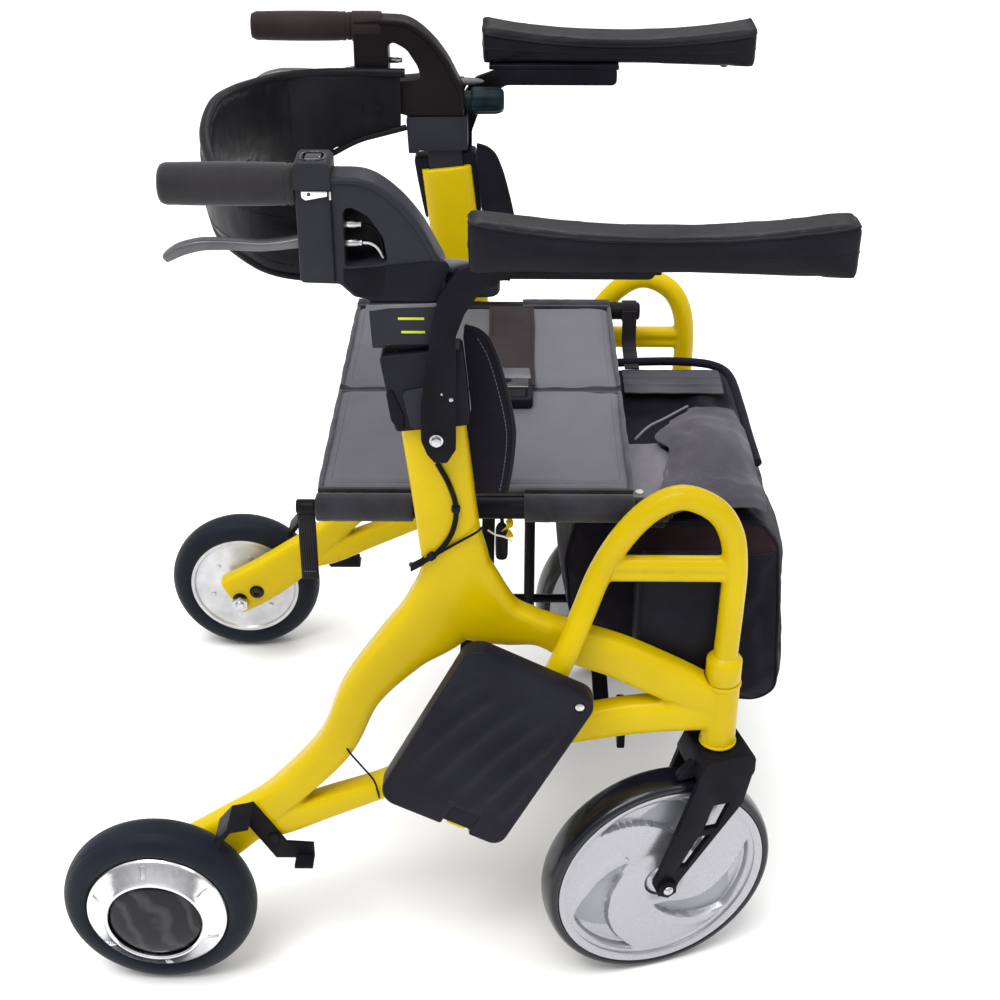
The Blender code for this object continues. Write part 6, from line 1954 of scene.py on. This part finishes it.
def corner_strap():
    """Webbing loop that hangs from a peg at the right seat rail's rear end."""
    rear = SEAT_X[0] - GAP
    x = rear - 0.0085
    y = -RAIL_Y
    line = [(x, y - 0.0016, HINGE_Z + 0.0065), (x, y - 0.0018, 0.505), (x, y - 0.0016, 0.470),
            (x, y - 0.0013, 0.455), (x, y, 0.4524), (x, y + 0.0013, 0.455), (x, y + 0.0016, 0.470),
            (x, y + 0.0018, 0.505), (x, y + 0.0016, HINGE_Z + 0.0065)]
    loop = strip(line, (1, 0, 0), 0.0165, 0.0011, 0.0016)
    obj = piece("corner_webbing", loop, "ribbed_webbing", "right_frame", "corner_strap",
                angle=60)
    peg = turned([(0, 0.0004), (0, 0.0062), (0.0012, 0.0070), (0.0165, 0.0070), (0.0175, 0.0060),
                  (0.0175, 0.0004)], (rear - 0.0172, y, HINGE_Z + 0.0005), (1, 0, 0), 32)
    piece("corner_strap_peg", peg, "black_satin_paint", "right_frame")
    seam = laid([(x + k * 0.0012, y - 0.02, 0.462) for k in range(-5, 6)], obj, (0, 1, 0), reach=0.03)
    stitches("corner_strap_stitches", seam, "right_frame", pitch=0.0026)


def narrowing(obj):
    """Give a piece of the band a mesh of its own."""
    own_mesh(obj)


def backrest_band():
    """Padded band round the back, soft at its raised top edge and bound along its lower one."""
    side_y = HANDLE_Y - HANDLE_T / 2 - GAP - 0.006
    line = curve_points(BAND_LINE, 0.009)
    pad_loops, rims = [], ([], [])
    total = len(line) - 1
    for i, here in enumerate(line):
        ahead = (line[min(i + 1, total)] - line[max(i - 1, 0)]).to_2d().normalized()
        out = Vector((ahead.y, -ahead.x, 0))
        low, high = here.z, here.w
        end = min(1.0, (min(i, total - i) + 1) / 4)
        loop = []
        for k in range(28):
            t = 2 * math.pi * k / 28
            c, q = math.cos(t), math.sin(t)
            u = 0.0036 * end * math.copysign(abs(c) ** 0.6, c)
            z = (low + high) / 2 + ((high - low) / 2 - 0.0008) * math.copysign(abs(q) ** 0.5, q)
            loop.append((here.x + out.x * u, here.y + out.y * u, z))
        pad_loops.append(loop)
        rims[0].append(Vector((here.x, here.y, low + 0.0038)))
        rims[1].append(Vector((here.x, here.y, high - 0.0054)))
    pad = puffed(skin(pad_loops), 0.005, 0.0030)
    for vert in pad.verts:
        co = vert.co
        sag = 0.0016 * noise.noise(Vector((co.y * 14, co.x * 14, co.z * 9))) + 0.0004 * noise.noise(co * 60)
        if abs(co.y) < side_y - 0.012:
            co.x += sag
    obj = piece("backrest_padding", pad, "black_leatherette", "right_handle", "backrest_band",
                angle=60)
    narrowing(obj)
    band_rims(obj, rims)
    band_screws(side_y)


def band_rims(obj, rims):
    """Bound lower edge, soft upper edge and a row of stitches along each."""
    for points, name, radius in ((rims[0], "lower", 0.0034), (rims[1], "upper", 0.0052)):
        odd_end = [] if len(points) % 2 else [points[-1]]
        bead = tube(points[::2] + odd_end, radius, 0.006, 18)
        rim = piece(f"backrest_{name}_rim", bead, "black_leatherette", "right_handle",
                    angle=60)
        narrowing(rim)
        step = 0.0110 if name == "lower" else -0.0130
        seam = nearest([p + Vector((0, 0, step)) + (p - Vector((-0.12, 0, p.z))).normalized() * 0.02
                        for p in points[6:-6:2]], obj, -0.0001)
        row = stitches(f"backrest_{name}_stitches", seam, "right_handle", "black_leatherette",
                       0.0055)
        narrowing(row)


def band_screws(side_y):
    """Dark screws that hold the band's ends on the two handles."""
    plates = []
    for s in SIDES.values():
        for x in (-0.150, -0.171):
            high = 0.815 if s < 0 else 0.777
            plates.append(bar((x, s * (side_y - 0.0066), high), (x, s * (side_y - 0.0040), high), 0.0040, 24))
    half = len(plates) // 2
    piece("right_band_screws", joined([softened(p, 0.0006, 2) for p in plates[:half]]), "black_leatherette",
          "right_handle")
    piece("left_band_screws", joined([softened(p, 0.0006, 2) for p in plates[half:]]), "black_leatherette",
          "left_handle")


def seat_gusset():
    """Dark strip of cloth that closes the fold between the two seat halves."""
    grid = []
    for i in range(61):
        x = SEAT_X[0] + 0.0004 + (SEAT_X[1] - SEAT_X[0] - 0.0008) * i / 60
        row = []
        for k in range(13):
            y = -0.0078 + 0.0156 * k / 12
            z = HINGE_Z + 0.0086 - 0.0007 * math.cos(y * 400) + 0.0002 * math.sin(x * 160)
            row.append(Vector((x, y, z)))
        grid.append(row)
    obj = free_of_body(piece("seat_fold_gusset", sheet_from(grid, 0.0009), "dark_seat_binding", "right_seat",
                             angle=60))
    z = HINGE_Z + 0.0086
    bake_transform(obj)


def bag_piece(name, bm, surface, replaced=()):
    """A shown piece of the bag on the right frame, with a mesh of its own."""
    obj = piece(name, bm, surface, "right_frame", replaced, 60)
    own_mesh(obj)
    return obj


def bag_outline():
    """Side view of the bag's body, evenly spaced."""
    corners = [(0.060, 0.488, 0.010), (0.252, 0.486, 0.014), (0.272, 0.459, 0.020), (0.2785, 0.393, 0.050),
               (0.2845, 0.300, 0.040), (0.2835, 0.272, 0.012), (0.262, 0.2585, 0.020), (0.150, 0.262, 0.050),
               (0.056, 0.372, 0.040), (0.050, 0.440, 0.030)]
    ring = even([(x, 0, z) for x, z in arc_outline(corners, 8)], 0.0048)
    return [(p.x, p.z) for p in ring]


def bag_body():
    """Crumpled nylon body with an open top, bound edges and a darker strip below the rim."""
    outline = bag_outline()
    middle = Vector((0.165, 0, 0.385))
    loops = []
    for k in range(73):
        y = -BAG_HALF + 2 * BAG_HALF * k / 72
        edge = BAG_HALF - abs(y)
        shrink = 1 - 0.040 * max(0.0, 1 - edge / 0.006) ** 2
        loop = []
        for x, z in outline:
            here = Vector((x, 0, z)) - middle
            loop.append((middle.x + here.x * shrink, y, middle.z + here.z * shrink))
        loops.append(loop)
    body = puffed(skin(loops), 0.0048, 0.0045, 3.0)
    for vert in body.verts:
        co = vert.co
        side = ramp(abs(co.y), 0.150, 0.174)
        wide = noise.noise(Vector((co.x * 13, co.y * 11, co.z * 13)))
        fine = noise.noise(co * 42)
        sharp = 1 - abs(noise.noise(Vector((co.x * 24 + 3, co.y * 20, co.z * 24))))
        lump = 0.0022 * wide + 0.0007 * fine + 0.0018 * (sharp - 0.75)
        if co.z > 0.470 and side < 0.5:
            hollow = ramp(co.z, 0.474, 0.486)
            depth = 0.019 * ramp(co.x, 0.112, 0.128) * (1 - ramp(co.x, 0.190, 0.215))
            depth *= ramp(co.y, -0.035, -0.005) * (1 - ramp(co.y, 0.085, 0.110))
            co.z += hollow * (lump - depth)
        elif side > 0.5:
            co.y -= math.copysign(0.5 * abs(lump), co.y)
        elif co.x > 0.20:
            co.x += lump - 0.0012
        else:
            co.x += 0.5 * lump
    obj = bag_piece("bag_body", body, ["black_nylon", "maroon_black_nylon"], "front_bag")
    for face in obj.data.polygons:
        spot = face.center - STATION
        if spot.y < -0.172 and spot.z > 0.450 and 0.112 < spot.x < 0.266:
            face.material_index = 1
    bag_edges(obj, outline, middle)


def bag_edges(obj, outline, middle):
    """Piping round both sides of the bag and the seam below its rim."""
    tree = tree_of(obj)
    for s, side in ((-1, "near"), (1, "far")):
        line = []
        for x, z in outline:
            here = Vector((x, 0, z)) - middle
            spot = middle + here * 0.995
            aim = Vector((spot.x + STATION_X, s * 0.1745, spot.z))
            spot = tree.find_nearest(aim)[0] - STATION
            line.append(spot)
        count = len(line)
        line = [(line[k - 2] + line[k - 1] * 2 + p * 3 + line[(k + 1) % count] * 2
                 + line[(k + 2) % count]) / 9 for k, p in enumerate(line)]
        bag_piece(f"bag_{side}_piping", ring_tube(line, 0.0021, 10), "black_nylon")
    line = []
    for k in range(60):
        x = 0.116 + 0.146 * k / 59
        spot = tree.ray_cast(Vector((x + STATION_X, -0.3, 0.4495)), Vector((0, 1, 0)), 0.3)[0]
        if spot:
            line.append(spot - STATION)
    bag_piece("bag_panel_seam", tube(line, 0.0009, 0.004, 10), "maroon_black_nylon")


def flap_height(x, y):
    """Height of the loose flap over a place on the bag."""
    z = 0.4965 + 0.024 * bump_at((x, y), (0.203, -0.048), (0.040, 0.058))
    z += 0.006 * bump_at((x, y), (0.150, 0.000), (0.020, 0.030))
    z -= 0.008 * bump_at((x, y), (0.163, -0.090), (0.010, 0.030))
    z -= 0.005 * bump_at((x, y), (0.187, -0.036), (0.008, 0.016))
    z -= 0.004 * bump_at((x, y), (0.206, -0.078), (0.008, 0.014))
    z -= 0.006 * ramp(x, 0.236, 0.256)
    z += 0.010 * ramp(-y, 0.100, 0.150) * ramp(x, 0.150, 0.185)
    z -= 0.004 * ramp(-y, 0.168, 0.180)
    z += 0.0016 * noise.noise(Vector((x * 46, y * 34, 0.4)))
    z += 0.0026 * (0.55 - abs(noise.noise(Vector((x * 30 + y * 26, y * 22 - x * 14, 2.1)))))
    return min(z, 0.5185) if x < 0.120 else z


def flap_left(y):
    """Left edge of the bag's flap at a place across the bag."""
    stops = [(-0.180, 0.140), (-0.100, 0.156), (-0.060, 0.165), (-0.032, 0.152), (0.0, 0.170), (0.046, 0.195)]
    for (a, xa), (b, xb) in zip(stops, stops[1:]):
        if y <= b:
            return xa + (xb - xa) * ramp(y, a, b)
    return stops[-1][1]


def bag_flap():
    """Crumpled grey flap over the top of the bag."""
    grid = []
    for i in range(76):
        y = -0.1790 + 0.2250 * i / 75
        row = []
        left, right = flap_left(y), 0.2515 - 0.006 * ramp(y, -0.02, 0.046)
        for k in range(50):
            x = left + (right - left) * k / 49
            edge = min(k / 49 * 6, 1.0)
            row.append(Vector((x, y, flap_height(x, y) - 0.003 * (1 - edge) * ramp(y, -0.1, 0.04))))
        grid.append(row)
    flap = bag_piece("bag_flap", sheet_from(grid, 0.0016), "grey_crumpled_nylon")


def bag_flap_corner():
    """Flat pale corner of the flap, with a snap."""
    grid = []
    for i in range(40):
        y = -0.143 + 0.113 * i / 39
        row = []
        for k in range(20):
            x = 0.1175 + (flap_left(y) + 0.004 - 0.1175) * k / 19
            lift = 0.0012 * noise.noise(Vector((x * 40, y * 30, 5.0))) + 0.0016 * ramp(x, 0.140, 0.160)
            row.append(Vector((x, y, 0.4925 + lift)))
        grid.append(row)
    corner = bag_piece("bag_flap_corner", sheet_from(grid, 0.0014), "pale_flap_nylon")
    snap = turned([(0, 0), (0, 0.0040), (0.0010, 0.0042), (0.0018, 0.0032), (0.0020, 0)],
                  (0.1290, -0.1330, 0.4935), (0, 0, 1), 32)
    bag_piece("bag_snap", snap, "white_nylon_tie")


def bag_fold_highlight():
    """Pale line along the crest of a fold across the flap: a painted highlight."""
    ridge = [(0.131, -0.032), (0.147, -0.012), (0.165, 0.006), (0.180, 0.028), (0.194, 0.046)]
    line = [(x, y, flap_height(x, y) + 0.0006) for x, y in ridge]
    # A pale tube along the fold's crest paints its highlight
    bag_piece("bag_fold_highlight", tube(line, 0.0014, 0.004, 12), "pale_flap_nylon")


def bag_far_strip():
    """Folded strip over the far side, and the piped rim round it."""
    grid = []
    for i in range(30):
        y = 0.092 + 0.060 * i / 29
        row = []
        for k in range(46):
            x = 0.128 + 0.112 * k / 45
            fold = 0.0022 * bump_at((y,), (0.112,), (0.0022,)) + 0.0018 * bump_at((y,), (0.131,), (0.0020,))
            row.append(Vector((x, y, 0.4932 + fold + 0.0008 * noise.noise(Vector((x * 40, y * 40, 9.0))))))
        grid.append(row)
    far = bag_piece("bag_far_strip", sheet_from(grid, 0.0014), "grey_crumpled_nylon")
    rim = [(0.118, 0.165, 0.496), (0.160, 0.1672, 0.497), (0.200, 0.1672, 0.497), (0.234, 0.160, 0.496),
           (0.251, 0.135, 0.494), (0.255, 0.060, 0.492), (0.256, 0.0, 0.490), (0.258, -0.060, 0.488)]
    bag_piece("bag_far_rim", tube(rim, 0.0050, 0.005, 20), "black_nylon")


def bag_tabs():
    """Webbing tabs that carry the bag, and their loops round the two side rails."""
    for side, s in SIDES.items():
        path = [(0.1395, s * 0.150, 0.4958), (0.1395, s * 0.176, 0.4962), (0.1395, s * 0.205, 0.4985),
                (0.1395, s * 0.2170, 0.506), (0.1395, s * 0.2188, 0.522), (0.1395, s * 0.2190, 0.538)]
        tab = bag_piece(f"bag_{side}_tab", strip(path, (1, 0, 0), 0.017, 0.0016, 0.004), "ribbed_webbing")
        ring = []
        for k in range(44):
            turn = 2 * math.pi * k / 44
            ring.append((0.1395, s * RAIL_Y + 0.0120 * math.cos(turn), HINGE_Z + 0.0120 * math.sin(turn)))
        loops = []
        for x, y, z in ring:
            out = Vector((0, y - s * RAIL_Y, z - HINGE_Z)).normalized()
            here = Vector((x, y, z))
            loops.append([here + Vector((a * 0.0085, 0, 0)) + out * b * 0.0007 for a, b in
                          ((-1, -0.4), (-0.92, -1), (0.92, -1), (1, -0.4), (1, 0.4), (0.92, 1), (-0.92, 1),
                           (-1, 0.4))])
        band = piece(f"bag_{side}_loop", skin(loops, closed=True), "ribbed_webbing", side + "_frame",
                     angle=60)


def bag():
    bag_body()
    bag_flap()
    bag_flap_corner()
    bag_fold_highlight()
    bag_far_strip()
    bag_tabs()


def fold_pull():
    """Black toggle on its cord below the right seat rail, with a twist of yellow ribbon and a pale tie."""
    x, y, top = -0.009, -RAIL_Y, HINGE_Z - RAIL_R - GAP
    cord_line = [(x, y, top), (x + 0.0006, y, top - 0.006), (x, y, top - 0.011), (x, y, top - 0.024),
                 (x, y, top - 0.0450)]
    cord = piece("fold_pull_cord", tube(cord_line, 0.0019, 0.002, 16), "ribbed_webbing", "right_frame",
                 "fold_pull")
    low = top - 0.0455
    profile = [(0, 0.0), (0, 0.0030), (0.0015, 0.0052), (0.005, 0.0060), (0.020, 0.0062), (0.034, 0.0058),
               (0.0380, 0.0042), (0.0400, 0.0022), (0.0400, 0.0)]
    toggle = piece("fold_pull_toggle", turned(profile, (x, y, low), (0, 0, 1), 40), "moulded_black_plastic",
                   "right_frame")
    path = [Vector((x + 0.0055 + 0.0025 * math.sin(k * 0.9), y - 0.0035 + 0.0018 * math.cos(k * 0.9),
                    top - 0.0005 - 0.0021 * k))
            for k in range(10)]
    ribbon = piece("fold_pull_ribbon", strip(path, (0.8, 0.6, 0), 0.0075, 0.0009, 0.0016),
                   "yellow_gloss_paint", "right_frame", angle=60)
    tie_line = [(x - 0.013, y - 0.006, top - 0.010), (x - 0.006, y - 0.0085, top - 0.0135),
                (x + 0.004, y - 0.0085, top - 0.0165), (x + 0.010, y - 0.0075, top - 0.022)]
    tie = piece("fold_pull_tie", tube(tie_line, 0.0009, 0.002, 12), "white_nylon_tie", "right_frame")


def brake_cable():
    """Cable clipped down the outer face of the right upright, with its two saddles."""
    y = -(FRAME_Y + FRAME_T / 2 + 0.0026)
    route = [(-0.066, y - 0.0005, 0.607), (-0.056, y, 0.585), (-0.050, y, 0.560), (-0.054, y, 0.535),
             (-0.066, y, 0.515), (-0.081, y, 0.503), (-0.0905, y + 0.003, 0.497), (-0.0935, y + 0.012, 0.492)]
    cable = piece("brake_cable_sheath", tube(route, 0.0025, 0.002, 18), "cable_sheath", "right_frame",
                  "brake_cable")
    saddles = []
    for spot, way in (((-0.0503, y, 0.560), (0.12, 0, 1)), ((-0.0735, y, 0.5088), (0.78, 0, 0.62))):
        ring = turned([(-0.0030, 0.0024), (-0.0030, 0.0036), (-0.0022, 0.0041), (0.0022, 0.0041),
                       (0.0030, 0.0036), (0.0030, 0.0024)], spot, Vector(way).normalized(), 28)
        saddles.append(ring)
    clips = piece("brake_cable_clips", joined(saddles), "moulded_black_plastic", "right_frame")


def small_parts():
    """Finer copies of small CAD pieces, then the bag, the pull, the cable and the ties."""
    refined("centre_rod", "black_satin_paint", 0.0006)
    for side in SIDES:
        refined(side + "_strut", "black_satin_paint", 0.0005)
        refined(side + "_brake_arm", "black_satin_paint", 0.0007)
        refined(side + "_rear_axle", "zinc_bolt", 0.0006)
    refined("battery_pack", "moulded_black_plastic", 0.0010)
    leg_tie()
    bag()
    fold_pull()
    brake_cable()
    brake_tie()


def brake_tie():
    """Thin black line tied across the upright, with the plug at its lower end."""
    y = -(FRAME_Y + FRAME_T / 2 + 0.0012)
    route = [(-0.0262, y + 0.0040, 0.5372), (-0.0330, y - 0.0004, 0.5335), (-0.0500, y - 0.0010, 0.5230),
             (-0.0700, y - 0.0010, 0.5095), (-0.0860, y - 0.0004, 0.4995), (-0.0905, y + 0.0040, 0.4965)]
    tie = piece("upright_tie", tube(route, 0.0012, 0.002, 14), "cable_sheath", "right_frame")
    plug = skin([[(x, y + 0.0006 + a * 0.0022, z + b * 0.0042) for a, b in
                  ((-1, -0.6), (-0.6, -1), (0.6, -1), (1, -0.6), (1, 0.6), (0.6, 1), (-0.6, 1), (-1, 0.6))]
                 for x, z in ((-0.0935, 0.4948), (-0.0900, 0.4968), (-0.0850, 0.4998), (-0.0805, 0.5026))])
    knob = piece("upright_tie_plug", softened(plug, 0.0008, 2, 40), "moulded_black_plastic", "right_frame")


def leg_tie():
    """Thin line tied between the rear leg and the lower rail of the right side."""
    y = -(FRAME_Y + FRAME_T / 2 + 0.0010)
    route = [(-0.1640, y + 0.0030, 0.2800), (-0.1600, y - 0.0004, 0.2745), (-0.1500, y - 0.0012, 0.2599),
             (-0.1377, y - 0.0012, 0.2405), (-0.1340, y - 0.0006, 0.2240), (-0.1333, y + 0.0030, 0.2135)]
    line = piece("leg_tie", tube(route, 0.0010, 0.002, 12), "cable_sheath", "right_frame")


for side, s in SIDES.items():
    side_frame(side, s)
    frame_fittings(side, s)
    seat_rail(side, s)
    rear_wheel(side, s)
    caster(side, s)
    footplate(side, s, leg_support(side, s))
    upright_clamp(side, s)
    handle(side, s)
    hand_grip(side, s)
    brake_lever(side, s)
    clamp_knob(side, s)
    armrest(side, s)
    side_guard(side, s)
    seat_half(side, s)
speed_control()
seat_gusset()
lap_belt()
corner_strap()
backrest_band()
small_parts()
